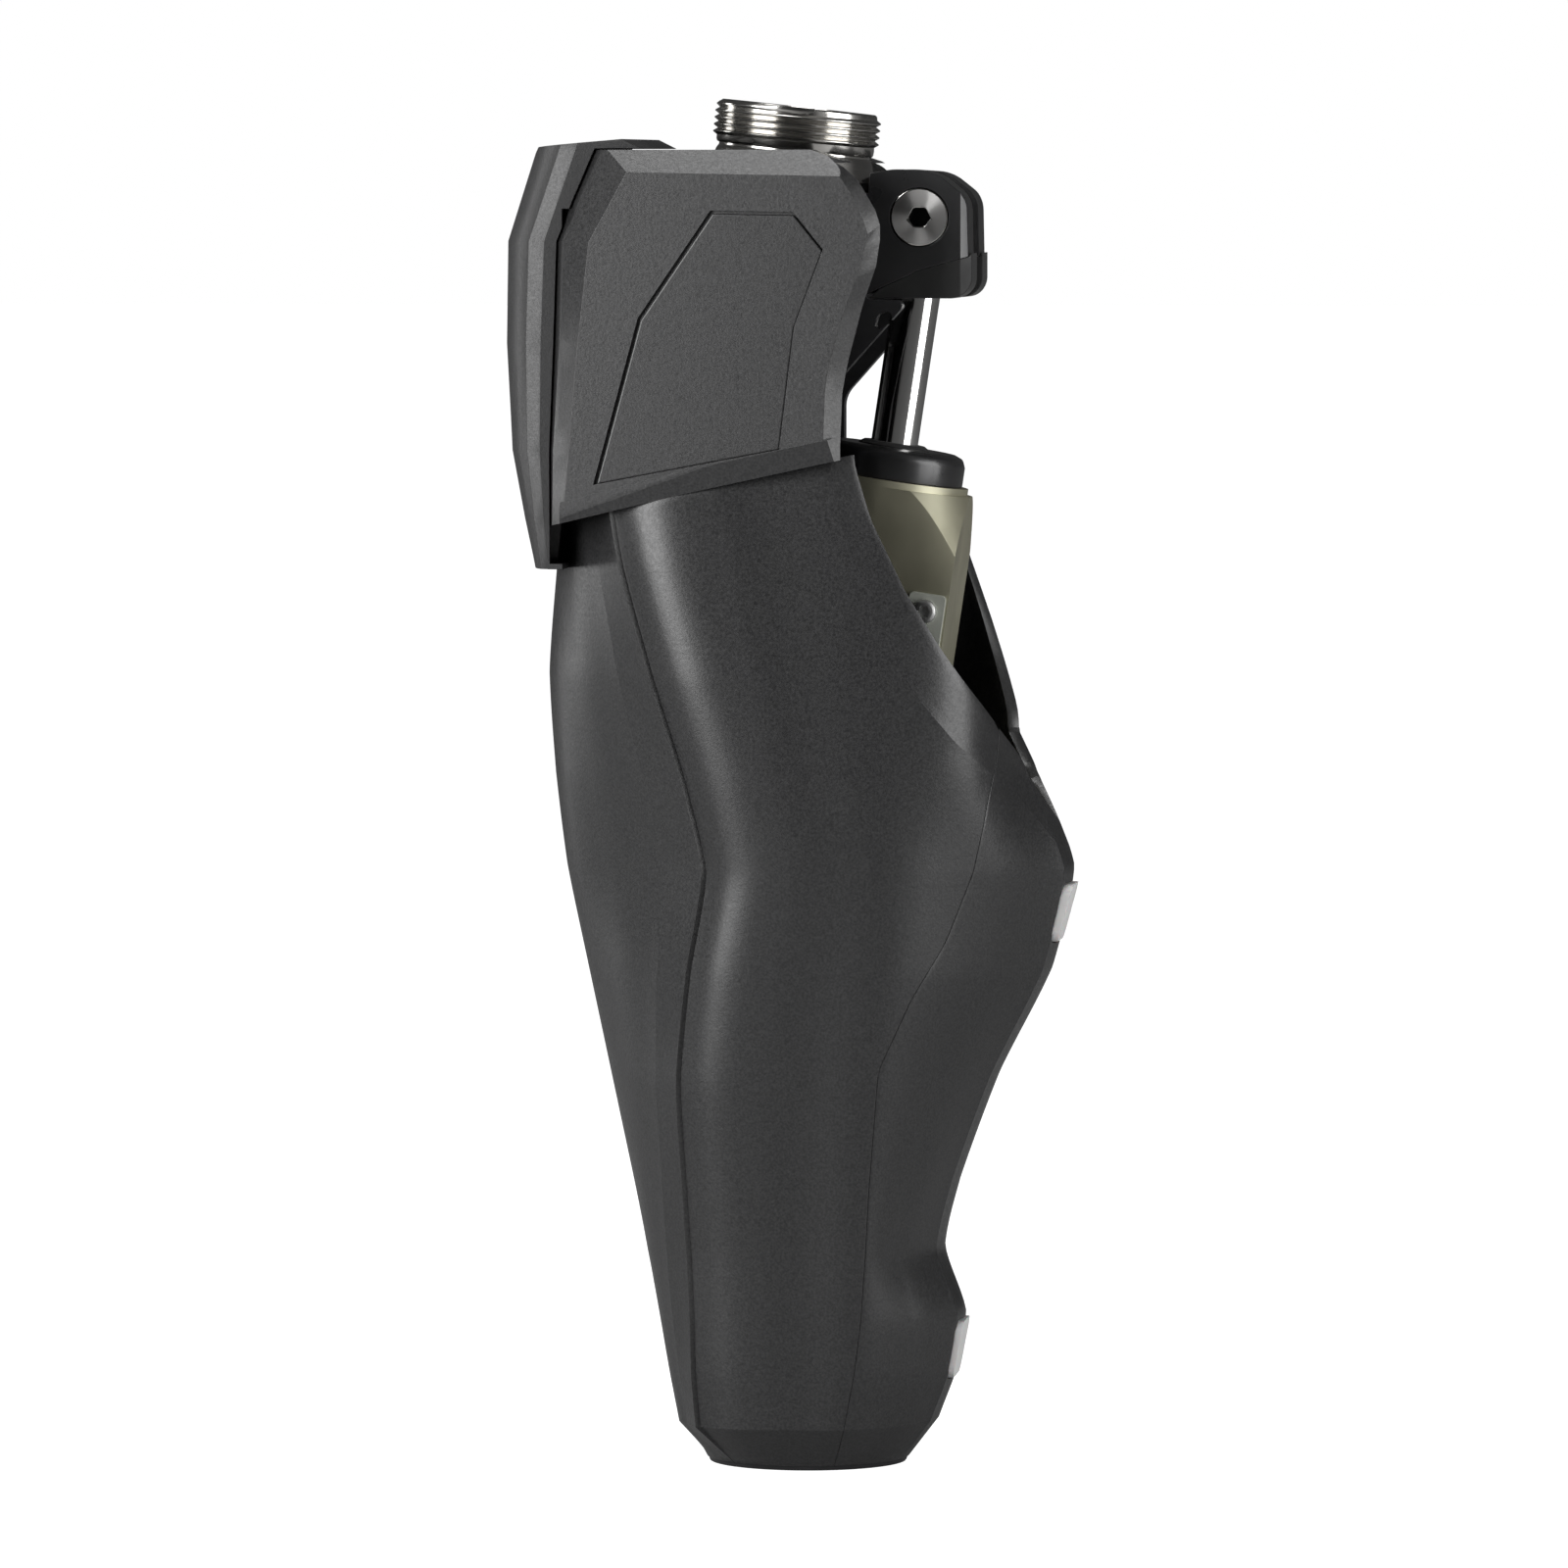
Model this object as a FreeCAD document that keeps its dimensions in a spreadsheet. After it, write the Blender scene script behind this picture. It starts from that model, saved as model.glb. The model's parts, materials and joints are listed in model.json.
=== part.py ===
import FreeCAD, Part
import math
import os
import re
import Sketcher

# Above-knee prosthetic knee with a hydraulic swing unit, in millimetres.
# Origin: mouth of the pylon clamp. +Z runs up the shin, +X points backwards, Y runs across.

doc = FreeCAD.newDocument("ProstheticKnee")
sheet = doc.addObject("Spreadsheet::Sheet", "Sizes")

# alias, value, what it sizes
sizeRows = [
    ("axleX", -5.5, "knee axis, forwards or backwards of the pylon"),
    ("axleZ", 262, "knee axis above the clamp mouth"),
    ("pinReach", 31.6, "damper pin behind the knee axis"),
    ("pinRise", 8.2, "damper pin above the knee axis"),
    ("rodTilt", 8.5, "lean of the damper at full extension, degrees"),
    ("connectorTilt", 6.3, "backward lean of the thigh connector, degrees"),
    ("headHalf", 20, "half width of the joint head"),
    ("headTop", 15.5, "connector seat above the knee axis"),
    ("forkHalf", 6.4, "half width of the slot for the rod eye"),
    ("axleRadius", 8, "knee axle"),
    ("axleFit", 0.04, "radial running clearance"),
    ("bearingRadius", 13, "outer radius of the axle bearings"),
    ("washerGap", 1.3, "head side to ear"),
    ("railWall", 5, "side plate of the shin frame"),
    ("threadRadius", 18, "crest of the connector thread"),
    ("threadLength", 8.6, "threaded length"),
    ("neckRadius", 16.4, "undercut below the thread"),
    ("flareRadius", 18.4, "foot of the connector"),
    ("cupRadius", 12.4, "recess in the connector"),
    ("cupDepth", 9, "depth of that recess"),
    ("pinRadius", 4, "damper pin"),
    ("screwHead", 6.2, "countersunk head at each end of the pin"),
    ("screwDepth", 3.4, "height of that head"),
    ("rearChamfer", 1.6, "chamfer down the rear corners of the head"),
    ("headBack", 42.1, "rear face of the head behind the knee axis"),
    ("eyeRadius", 8.4, "outside of the rod eye"),
    ("eyeHalf", 6, "half width of the rod eye"),
    ("bushWall", 2, "wall of the eye bush"),
    ("rodRadius", 5.1, "chromed rod"),
    ("capDrop", 50.2, "damper pin to top of the cap, along the rod"),
    ("capHeight", 6.8, "visible cap"),
    ("capRadius", 15.9, "cap"),
    ("cylinderRadius", 17.3, "damper body, also its flat sides"),
    ("cylinderBack", 18.2, "rod's axis to the flat back of the damper body"),
    ("taperTop", 17.7, "radius of the damper body's turned end at the cap"),
    ("taperFoot", 25.1, "the same where the turning runs out"),
    ("taperDepth", 14, "height of that turned end"),
    ("cylinderBore", 13.5, "bore of the damper body"),
    ("bracketThick", 1.5, "sensor bracket"),
    ("cylinderLength", 64, "damper body below the cap"),
    ("pivotDrop", 130, "damper pin to lower pivot, along the rod"),
    ("trunnionRadius", 5, "lower pivot pins"),
    ("pylonRadius", 17, "bore of the pylon clamp"),
    ("clampRadius", 24, "outside of the pylon clamp"),
    ("clampDepth", 38, "how deep the pylon goes in"),
    ("clampTop", 46, "top of the clamp block"),
    ("clampScrewRadius", 2, "screw across the clamp slit"),
    ("clampScrewX", 19.8, "clamp screw behind the pylon's axis"),
    ("clampScrewZ", 14, "clamp screw above the mouth"),
    ("shellHalf", 44, "half width of the calf shell"),
    ("shellWall", 2.6, "wall of the calf shell"),
    ("rimDrop", 1.5, "how far the band along the calf's opening slopes in"),
    ("shieldHalf", 44, "half width of the knee shield at the axis"),
    ("shieldWall", 2.8, "wall of the knee shield"),
    ("bevelWidth", 4.4, "bevel round the shield's side"),
    ("lipProud", 1.2, "how far the band stands out"),
    ("bladeStep", 1.3, "step behind the blade down the calf's side"),
    ("seam", 0.4, "gap where shells meet"),
    ("inlayDepth", 1.1, "thickness of the side inlays"),
    ("inlayGap", 0.35, "groove round an inlay"),
    ("padGap", 0.3, "pad to shield"),
    ("insertHalf", 6.5, "half width of the front strip"),
    ("insertDepth", 1.2, "depth of the front strip"),
    ("tabHalf", 8, "half width of a release tab"),
    ("tabHeight", 12.4, "height of a release tab"),
    ("tabReach", 5.5, "face of a tab to its inner flange"),
    ("tabGap", 0.35, "gap round a release tab"),
    ("postRadius", 4, "posts that carry the shells"),
    ("postGap", 0.3, "post to shell"),
]

aliases = [alias for alias, value, note in sizeRows]
for line, (alias, value, note) in enumerate(sizeRows, start=1):
    sheet.set(f"A{line}", note)
    sheet.set(f"B{line}", str(value))
    sheet.setAlias(f"B{line}", alias)
doc.recompute()


def size(alias):
    """value of one cell of the sheet"""
    return float(sheet.get(alias))


def bound(words):
    """expression in which each alias names its cell"""
    def full(match):
        word = match.group(0)
        return f"Sizes.{word}" if word in aliases else word
    return re.sub(r"[A-Za-z_]\w*", full, str(words))


def reckon(words):
    """number that such an expression stands for"""
    return float(sheet.evalExpression(bound(words)))


# Places that several pieces share
vec = FreeCAD.Vector
across = vec(0, 1, 0)
upright = vec(0, 0, 1)
axleX = size("axleX")
axleZ = size("axleZ")
pinX = axleX + size("pinReach")
pinZ = axleZ + size("pinRise")
railInner = size("headHalf") + size("washerGap")
railOuter = railInner + size("railWall")
crossTurn = FreeCAD.Rotation(vec(1, 0, 0), -90)
rodTurn = FreeCAD.Rotation(across, size("rodTilt"))
connectorTurn = FreeCAD.Rotation(across, size("connectorTilt"))
rodPlace = FreeCAD.Placement(vec(pinX, 0, pinZ), rodTurn)
pivotPoint = rodPlace.multVec(vec(0, 0, -size("pivotDrop")))
nodes = []


def keep(item, label):
    """names a finished sub-part"""
    item.Label = label
    nodes.append(item)
    return item


def place(item, point, turn=None):
    item.Placement = FreeCAD.Placement(vec(*point), turn or FreeCAD.Rotation())


def body(name):
    return doc.addObject("PartDesign::Body", name)


def plane(owner, role):
    return [f for f in owner.Origin.OriginFeatures if f.Role == role][0]


def newSketch(owner, name, role):
    sketch = owner.newObject("Sketcher::SketchObject", name)
    sketch.AttachmentSupport = [(plane(owner, role), "")]
    sketch.MapMode = "FlatFace"
    return sketch


def fix(sketch, kind, geometry, point, words):
    """ties one coordinate of a point to the sheet"""
    number = reckon(words)
    index = sketch.addConstraint(Sketcher.Constraint(kind, -1, 1, geometry, point, number))
    sketch.setExpression(f"Constraints[{index}]", bound(words))


def outline(owner, name, role, corners, base=("0", "0")):
    """closed outline with straight edges; each corner is (across, up[, radius])"""
    sketch = newSketch(owner, name, role)
    places = [(f"{base[0]} + ({c[0]})", f"{base[1]} + ({c[1]})") for c in corners]
    points = [vec(reckon(a), reckon(b), 0) for a, b in places]
    count = len(points)
    lines = [Part.LineSegment(points[i], points[(i + 1) % count]) for i in range(count)]
    sketch.addGeometry(lines, False)
    for i in range(count):
        sketch.addConstraint(Sketcher.Constraint("Coincident", i, 2, (i + 1) % count, 1))
    for i, (a, b) in enumerate(places):
        fix(sketch, "DistanceX", i, 1, a)
        fix(sketch, "DistanceY", i, 1, b)
    return sketch


def rings(owner, name, role, circles):
    """circles as (across, up, radius)"""
    sketch = newSketch(owner, name, role)
    for i, (a, b, r) in enumerate(circles):
        circle = Part.Circle(vec(reckon(a), reckon(b), 0), upright, reckon(r))
        sketch.addGeometry(circle, False)
        fix(sketch, "DistanceX", i, 3, a)
        fix(sketch, "DistanceY", i, 3, b)
        index = sketch.addConstraint(Sketcher.Constraint("Radius", i, reckon(r)))
        sketch.setExpression(f"Constraints[{index}]", bound(r))
    return sketch


def pad(owner, sketch, length):
    """material to both sides of the sketch"""
    feature = owner.newObject("PartDesign::Pad", sketch.Name + "Pad")
    feature.Profile = sketch
    feature.SideType = "Symmetric"
    feature.setExpression("Length", bound(length))
    doc.recompute()
    return feature


def pocket(owner, sketch, length):
    """cut to both sides of the sketch"""
    feature = owner.newObject("PartDesign::Pocket", sketch.Name + "Pocket")
    feature.Profile = sketch
    feature.SideType = "Symmetric"
    feature.setExpression("Length", bound(length))
    doc.recompute()
    return feature


def turned(owner, corners, name="Profile", cut=False):
    """revolves (radius, height) corners about the body's own upright axis"""
    sketch = outline(owner, name, "XZ_Plane", corners)
    kind = "PartDesign::Groove" if cut else "PartDesign::Revolution"
    feature = owner.newObject(kind, name + "Turn")
    feature.Profile = sketch
    feature.ReferenceAxis = (sketch, ["V_Axis"])
    feature.Angle = 360
    doc.recompute()
    return feature


def roundCorners(owner, corners, base, shrink=1):
    """fillets the edges across the part that stand at the corners with a radius"""
    wanted = {}
    for corner in corners:
        if len(corner) > 2:
            spot = (reckon(f"{base[0]} + ({corner[0]})"), reckon(f"{base[1]} + ({corner[1]})"))
            wanted.setdefault(corner[2], []).append(spot)
    for radius, spots in wanted.items():
        names = []
        for number, edge in enumerate(owner.Tip.Shape.Edges, start=1):
            ends = [v.Point for v in edge.Vertexes]
            if len(ends) != 2:
                continue
            along = ends[1] - ends[0]
            if math.hypot(along.x, along.z) > 1e-6:
                continue
            for x, z in spots:
                if math.hypot(ends[0].x - x, ends[0].z - z) < 1e-4:
                    names.append(f"Edge{number}")
        carrier = owner.Tip
        fillet = owner.newObject("PartDesign::Fillet", "Round")
        fillet.Base = (carrier, names)
        fillet.Radius = radius * shrink
        doc.recompute()


def hexagonCorners(across):
    """corners of a hexagon with that size across its flats"""
    reach = across / math.sqrt(3)
    return [(reach * math.cos(math.radians(60 * i)), reach * math.sin(math.radians(60 * i))) for i in range(6)]


def hexSocket(owner, across, depth, top):
    """hexagon socket in the end of a screw"""
    socket = outline(owner, "Socket", "XY_Plane", hexagonCorners(across))
    socket.AttachmentOffset = FreeCAD.Placement(vec(0, 0, reckon(top)), FreeCAD.Rotation())
    pocket(owner, socket, str(2 * depth))


def pin(name, radius, low, high, inner=None):
    """plain turned piece between two heights on its own axis"""
    owner = body(name)
    start = inner if inner else "0"
    turned(owner, [(start, low), (radius, low), (radius, high), (start, high)])
    return owner


def both(name, item):
    """a piece and its mirror image on the other side, as one group"""
    other = doc.addObject("Part::Mirroring", name + "Other")
    other.Source = item
    other.Normal = across
    group = doc.addObject("Part::Compound", name + "Pair")
    group.Links = [item, other]
    doc.recompute()
    return group


def gather(name, items):
    group = doc.addObject("Part::Compound", name)
    group.Links = items
    doc.recompute()
    return group


def solid(label, shape):
    """sub-part whose surface is a loft through free sections"""
    feature = doc.addObject("Part::Feature", label)
    feature.Shape = shape
    feature.Placement = FreeCAD.Placement()
    return keep(feature, label)


# Joint head

axle = ("axleX", "axleZ")
headCorners = [
    (-16, -11, 8),
    (-16, "headTop + 16 * tan(connectorTilt)", 3),
    (20.6, "headTop - 20.6 * tan(connectorTilt)"),
    (21, 17.6),
    (26, 18.5, 12),
    (35, 17.9, 9),
    ("headBack - 0.3", 12.5, 6),
    ("headBack", -0.3),
    (31.6, -3.1),
    (29.4, -4.2),
    (23.4, -6.9),
    (12, -12.5, 6),
    (4, -16.4, 10),
    (-10, -16.4, 8),
]


def jointHead():
    head = body("JointHead")
    pad(head, outline(head, "HeadSide", "XZ_Plane", headCorners, axle), "headHalf * 2")
    roundCorners(head, headCorners, axle)
    slot = [(21.8, -20), (50, -20), (50, 30), (21.8, 30)]
    pocket(head, outline(head, "RodSlot", "XZ_Plane", slot, axle), "forkHalf * 2")
    bores = [("axleX", "axleZ", "axleRadius + axleFit"), ("axleX + pinReach", "axleZ + pinRise", "pinRadius + axleFit")]
    pocket(head, rings(head, "Bores", "XZ_Plane", bores), "headHalf * 4")
    return keep(head, "joint_head")


def withoutTools(item, label, *tools):
    """the piece without what the tools take away, under its own name"""
    cut = doc.addObject("Part::Cut", label + "Cut")
    cut.Base = item
    cut.Tool = gather(label + "Tools", list(tools))
    doc.recompute()
    nodes.remove(item)
    item.Label = label + "Blank"
    return keep(cut, label)


def rearCorners():
    """wedges outside the chamfers that run down the head's rear corners"""
    wedge = body("RearCorner")
    corners = [
        ("-rearChamfer - 0.5", "-headHalf - 0.5"),
        (8, "-headHalf + rearChamfer + 8"),
        (8, "-headHalf - 0.5"),
    ]
    pad(wedge, outline(wedge, "CornerPlan", "XY_Plane", corners), "60")
    place(wedge, (axleX + size("headBack"), 0, axleZ))
    return both("RearCorners", wedge)


def headCountersinks():
    """conical seats for the pin screws, from both sides"""
    cone = body("SeatCone")
    turned(cone, [
        (0, "headHalf - screwDepth"),
        ("pinRadius + axleFit", "headHalf - screwDepth"),
        ("screwHead + 0.15", "headHalf - 0.6"),
        ("screwHead + 0.15", "headHalf + 1"),
        (0, "headHalf + 1"),
    ])
    place(cone, (pinX, 0, pinZ), crossTurn)
    return both("SeatCones", cone)


def swingBumper():
    """two cheeks of the soft stop under the head's rear lobe"""
    corners = [
        (20.5, -9.2),
        (23.4, -6.9),
        (29.4, -4.2),
        (31.6, -3.1),
        ("headBack", -0.3),
        ("headBack + 0.7", 0.6),
        ("headBack + 0.7", -9.2, 4.4),
    ]
    bumper = body("SwingBumper")
    pad(bumper, outline(bumper, "BumperSide", "XZ_Plane", corners, axle), "headHalf * 2")
    roundCorners(bumper, corners, axle)
    slot = [(10, -20), (50, -20), (50, 10), (10, 10)]
    centre = outline(bumper, "BumperSlot", "XZ_Plane", slot, axle)
    cut = bumper.newObject("PartDesign::Pocket", "BumperSlotPocket")
    cut.Profile = centre
    cut.SideType = "Symmetric"
    cut.setExpression("Length", bound("forkHalf * 2"))
    bumper.AllowCompound = True
    doc.recompute()
    return keep(bumper, "swing_bumper")


def threadedConnector():
    connector = body("ThreadedConnector")
    turned(connector, [
        (0, "headTop"),
        ("flareRadius", "headTop"),
        ("flareRadius", "headTop + 2.2"),
        ("neckRadius", "headTop + 6.6"),
        ("neckRadius", "headTop + 7.3"),
        ("threadRadius - 0.9", "headTop + 7.3"),
        ("threadRadius", "headTop + 8"),
        ("threadRadius", "headTop + 8 + threadLength - 0.7"),
        ("threadRadius - 0.8", "headTop + 8 + threadLength"),
        ("cupRadius + 0.8", "headTop + 8 + threadLength"),
        ("cupRadius", "headTop + 7.2 + threadLength"),
        ("cupRadius", "headTop + 8 + threadLength - cupDepth"),
        (0, "headTop + 8 + threadLength - cupDepth"),
    ])
    place(connector, (axleX, 0, axleZ), connectorTurn)
    return keep(connector, "threaded_connector")


def connectorBolt():
    """screw in the floor of the recess that draws the connector onto the head"""
    bolt = body("ConnectorBolt")
    floor = "headTop + 8 + threadLength - cupDepth"
    turned(bolt, [
        (0, floor),
        (6.5, floor),
        (6.5, f"{floor} + 4.6"),
        (6, f"{floor} + 5.1"),
        (0, f"{floor} + 5.1"),
    ])
    hexSocket(bolt, 6, 3, f"{floor} + 5.1")
    place(bolt, (axleX, 0, axleZ), connectorTurn)
    return keep(bolt, "connector_bolt")


# Knee axle and its bearings

def kneeAxle():
    shaft = pin("KneeAxle", "axleRadius", "-headHalf - washerGap - railWall", "headHalf + washerGap + railWall")
    place(shaft, (axleX, 0, axleZ), crossTurn)
    return keep(shaft, "knee_axle")


def crossPair(name, label, radius, low, high, inner, x, z):
    """pair of rings or discs on an axis across the part"""
    ring = pin(name, radius, low, high, inner)
    place(ring, (x, 0, z), crossTurn)
    return keep(both(name, ring), label)


def axleDiscs():
    """end discs with a hexagon socket that hold the axle sideways"""
    disc = body("AxleDisc")
    near = "headHalf + washerGap + railWall"
    turned(disc, [(0, near), (10.6, near), (10.6, f"{near} + 1.2"), (9.6, f"{near} + 2"), (0, f"{near} + 2")])
    hexSocket(disc, 5, 1.5, f"{near} + 2")
    place(disc, (axleX, 0, axleZ), crossTurn)
    return keep(both("AxleDisc", disc), "axle_discs")


# Damper: pin, rod and piston

def rodPin():
    hollow = "pinRadius - 1.5"
    end = "headHalf - screwDepth"
    tube = pin("RodPin", "pinRadius", f"-({end})", end, hollow)
    place(tube, (pinX, 0, pinZ), crossTurn)
    return keep(tube, "rod_pin")


def rodPinScrews():
    screw = body("PinScrew")
    turned(screw, [
        (0, "headHalf - screwDepth - 7"),
        ("pinRadius - 1.55", "headHalf - screwDepth - 7"),
        ("pinRadius - 1.55", "headHalf - screwDepth"),
        ("pinRadius", "headHalf - screwDepth"),
        ("screwHead", "headHalf - 0.7"),
        ("screwHead", "headHalf"),
        (0, "headHalf"),
    ])
    hexSocket(screw, 4, 2.5, "headHalf")
    place(screw, (pinX, 0, pinZ), crossTurn)
    return keep(both("PinScrew", screw), "rod_pin_screws")


def pistonRod():
    """eye and shank in one piece, with a step for the piston"""
    rod = body("PistonRod")
    eye = rings(rod, "Eye", "XZ_Plane", [("0", "0", "eyeRadius")])
    pad(rod, eye, "eyeHalf * 2")
    turned(rod, [
        (0, 0),
        ("rodRadius", 0),
        ("rodRadius", "-capDrop - capHeight - 9"),
        (3.4, "-capDrop - capHeight - 9"),
        (3.4, "-capDrop - capHeight - 19"),
        (0, "-capDrop - capHeight - 19"),
    ], "Shank")
    pocket(rod, rings(rod, "EyeBore", "XZ_Plane", [("0", "0", "pinRadius + bushWall + axleFit")]), "eyeHalf * 4")
    rod.Placement = rodPlace
    return keep(rod, "piston_rod")


def onRod(name, label, corners):
    """turned piece on the damper's own axis, heights measured from the pin"""
    piece = body(name)
    turned(piece, corners)
    piece.Placement = rodPlace
    return keep(piece, label)


def damperInside():
    top = "-capDrop - capHeight"
    bush = pin("EyeBush", "pinRadius + bushWall", "-eyeHalf", "eyeHalf", "pinRadius + axleFit")
    place(bush, (pinX, 0, pinZ), crossTurn)
    keep(bush, "eye_bush")
    onRod("Piston", "piston", [
        (3.45, f"{top} - 9"),
        ("cylinderBore - 0.35", f"{top} - 9"),
        ("cylinderBore - 0.35", f"{top} - 10.8"),
        ("cylinderBore - 2", f"{top} - 10.8"),
        ("cylinderBore - 2", f"{top} - 13.2"),
        ("cylinderBore - 0.35", f"{top} - 13.2"),
        ("cylinderBore - 0.35", f"{top} - 15"),
        (3.45, f"{top} - 15"),
    ])
    onRod("PistonBand", "piston_band", [
        ("cylinderBore - 2", f"{top} - 10.9"),
        ("cylinderBore - 0.15", f"{top} - 10.9"),
        ("cylinderBore - 0.15", f"{top} - 13.1"),
        ("cylinderBore - 2", f"{top} - 13.1"),
    ])
    onRod("PistonNut", "piston_nut", [
        (3.45, f"{top} - 15"),
        (6, f"{top} - 15"),
        (6, f"{top} - 18.4"),
        (3.45, f"{top} - 18.4"),
    ])


# Damper: cylinder side

capTop = "-capDrop"
tubeTop = "-capDrop - capHeight"
tubeFoot = "-capDrop - capHeight - cylinderLength"


def damperBody():
    """body round at the front and milled flat at the sides and back, with a lug for the lower pivot"""
    tube = body("DamperBody")
    turned(tube, [
        (0, tubeTop),
        ("cylinderRadius", tubeTop),
        ("cylinderRadius", f"{tubeFoot} + 1.5"),
        ("cylinderRadius - 1.5", tubeFoot),
        (0, tubeFoot),
    ])
    flats = outline(tube, "Flats", "XY_Plane", [
        (0, "-cylinderRadius"),
        ("cylinderBack", "-cylinderRadius"),
        ("cylinderBack", "cylinderRadius"),
        (0, "cylinderRadius"),
    ])
    middle = FreeCAD.Placement(vec(0, 0, reckon(f"{tubeTop} - cylinderLength / 2")), FreeCAD.Rotation())
    flats.AttachmentOffset = middle
    pad(tube, flats, "cylinderLength - 3")
    turned(tube, [
        ("taperTop", f"{tubeTop} + 1"),
        ("taperFoot + 4", f"{tubeTop} + 1"),
        ("taperFoot + 4", f"{tubeTop} - taperDepth"),
        ("taperFoot", f"{tubeTop} - taperDepth"),
        ("taperTop", tubeTop),
    ], "Taper", cut=True)
    turned(tube, [
        (0, f"{tubeTop} + 1"),
        ("cylinderBore", f"{tubeTop} + 1"),
        ("cylinderBore", f"{tubeFoot} + 5"),
        (0, f"{tubeFoot} + 5"),
    ], "Bore", cut=True)
    lug = [
        (-9, f"{tubeFoot} + 2"),
        (9, f"{tubeFoot} + 2"),
        (9, "-pivotDrop - 7", 6),
        (-9, "-pivotDrop - 7", 6),
    ]
    pad(tube, outline(tube, "Lug", "XZ_Plane", lug), "24")
    pocket(tube, rings(tube, "PivotBore", "XZ_Plane", [("0", "-pivotDrop", "trunnionRadius + axleFit")]), "60")
    tube.Placement = rodPlace
    return keep(tube, "hydraulic_cylinder")


def cylinderCap():
    onRod("CylinderCap", "cylinder_cap", [
        ("rodRadius + 2.6", capTop),
        ("capRadius - 2.4", capTop),
        ("capRadius - 0.7", f"{capTop} - 0.7"),
        ("capRadius", f"{capTop} - 2.4"),
        ("capRadius", tubeTop),
        ("cylinderBore - 0.1", tubeTop),
        ("cylinderBore - 0.1", f"{tubeTop} - 5"),
        ("rodRadius + 0.3", f"{tubeTop} - 5"),
        ("rodRadius + 0.3", f"{capTop} - 2.6"),
        ("rodRadius + 2.6", f"{capTop} - 2.6"),
    ])
    onRod("RodWiper", "rod_wiper", [
        ("rodRadius + 0.3", f"{capTop} - 2.6"),
        ("rodRadius + 2.6", f"{capTop} - 2.6"),
        ("rodRadius + 2.6", f"{capTop} + 0.2"),
        ("rodRadius + 1.5", f"{capTop} + 0.9"),
        ("rodRadius + 0.3", f"{capTop} + 0.9"),
    ])
    onRod("RodSeal", "rod_seal", [
        ("rodRadius + 0.3", f"{tubeTop} - 5"),
        ("cylinderBore - 3", f"{tubeTop} - 5"),
        ("cylinderBore - 3", f"{tubeTop} - 8"),
        ("rodRadius + 0.3", f"{tubeTop} - 8"),
    ])


def pivotPins():
    trunnions = pin("PivotPin", "trunnionRadius", "-headHalf - washerGap - railWall + 0.4",
                    "headHalf + washerGap + railWall - 0.4")
    place(trunnions, tuple(pivotPoint), crossTurn)
    return keep(trunnions, "pivot_pin")


def valveBlock():
    """block with the two flow valves, bolted to the front of the damper"""
    block = body("ValveBlock")
    corners = [
        ("-cylinderRadius - 9", f"{tubeFoot} + 2", 2),
        ("-cylinderRadius - 9", f"{tubeFoot} + 24", 2),
        (-8, f"{tubeFoot} + 24"),
        (-8, f"{tubeFoot} + 2"),
    ]
    pad(block, outline(block, "ValveSide", "XZ_Plane", corners), "22")
    roundCorners(block, corners, ("0", "0"))
    clear = rings(block, "DamperSeat", "XY_Plane", [("0", "0", "cylinderRadius + 0.05")])
    cut = block.newObject("PartDesign::Pocket", "DamperSeatPocket")
    cut.Profile = clear
    cut.SideType = "Symmetric"
    cut.Length = 400
    doc.recompute()
    block.Placement = rodPlace
    keep(block, "valve_block")
    motor = body("ValveMotor")
    turned(motor, [
        (0, f"{tubeFoot} + 24"),
        (3.9, f"{tubeFoot} + 24"),
        (3.9, f"{tubeFoot} + 36"),
        (3.3, f"{tubeFoot} + 36.6"),
        (0, f"{tubeFoot} + 36.6"),
    ])
    motor.Placement = rodPlace.multiply(FreeCAD.Placement(
        vec(-size("cylinderRadius") - 4.4, -6, 0), FreeCAD.Rotation()))
    keep(both("ValveMotor", motor), "valve_motors")


def sensorBracket():
    """thin plate with a tongue on the near side of the damper, and its screw"""
    bracket = body("SensorBracket")
    corners = [
        (9.8, f"{tubeTop} - 22.6", 1),
        (17.8, f"{tubeTop} - 22.6", 1),
        (17.8, f"{tubeTop} - 33.5"),
        (24, f"{tubeTop} - 46.5", 2),
        (22.2, f"{tubeTop} - 53", 2),
        (16.6, f"{tubeTop} - 53", 2),
        (9.8, f"{tubeTop} - 35.5"),
    ]
    pad(bracket, outline(bracket, "BracketSide", "XZ_Plane", corners), "bracketThick")
    roundCorners(bracket, corners, ("0", "0"))
    hole = rings(bracket, "BracketHole", "XZ_Plane", [("13.6", f"{tubeTop} - 26.5", "1.6")])
    pocket(bracket, hole, "6")
    flat = size("cylinderRadius")
    seat = FreeCAD.Placement(vec(0, -flat - size("bracketThick") / 2, 0), FreeCAD.Rotation())
    bracket.Placement = rodPlace.multiply(seat)
    keep(bracket, "sensor_bracket")
    screw = body("BracketScrew")
    turned(screw, [
        (0, 0),
        (1.5, 0),
        (1.5, "bracketThick"),
        (2.65, "bracketThick"),
        (2.65, "bracketThick + 1"),
        (2.1, "bracketThick + 1.7"),
        (0, "bracketThick + 1.7"),
    ])
    hexSocket(screw, 2.1, 1.2, "bracketThick + 1.7")
    spot = vec(13.6, -flat, reckon(f"{tubeTop} - 26.5"))
    screw.Placement = rodPlace.multiply(FreeCAD.Placement(spot, FreeCAD.Rotation(vec(1, 0, 0), 90)))
    keep(screw, "bracket_screw")


# Shin frame

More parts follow.
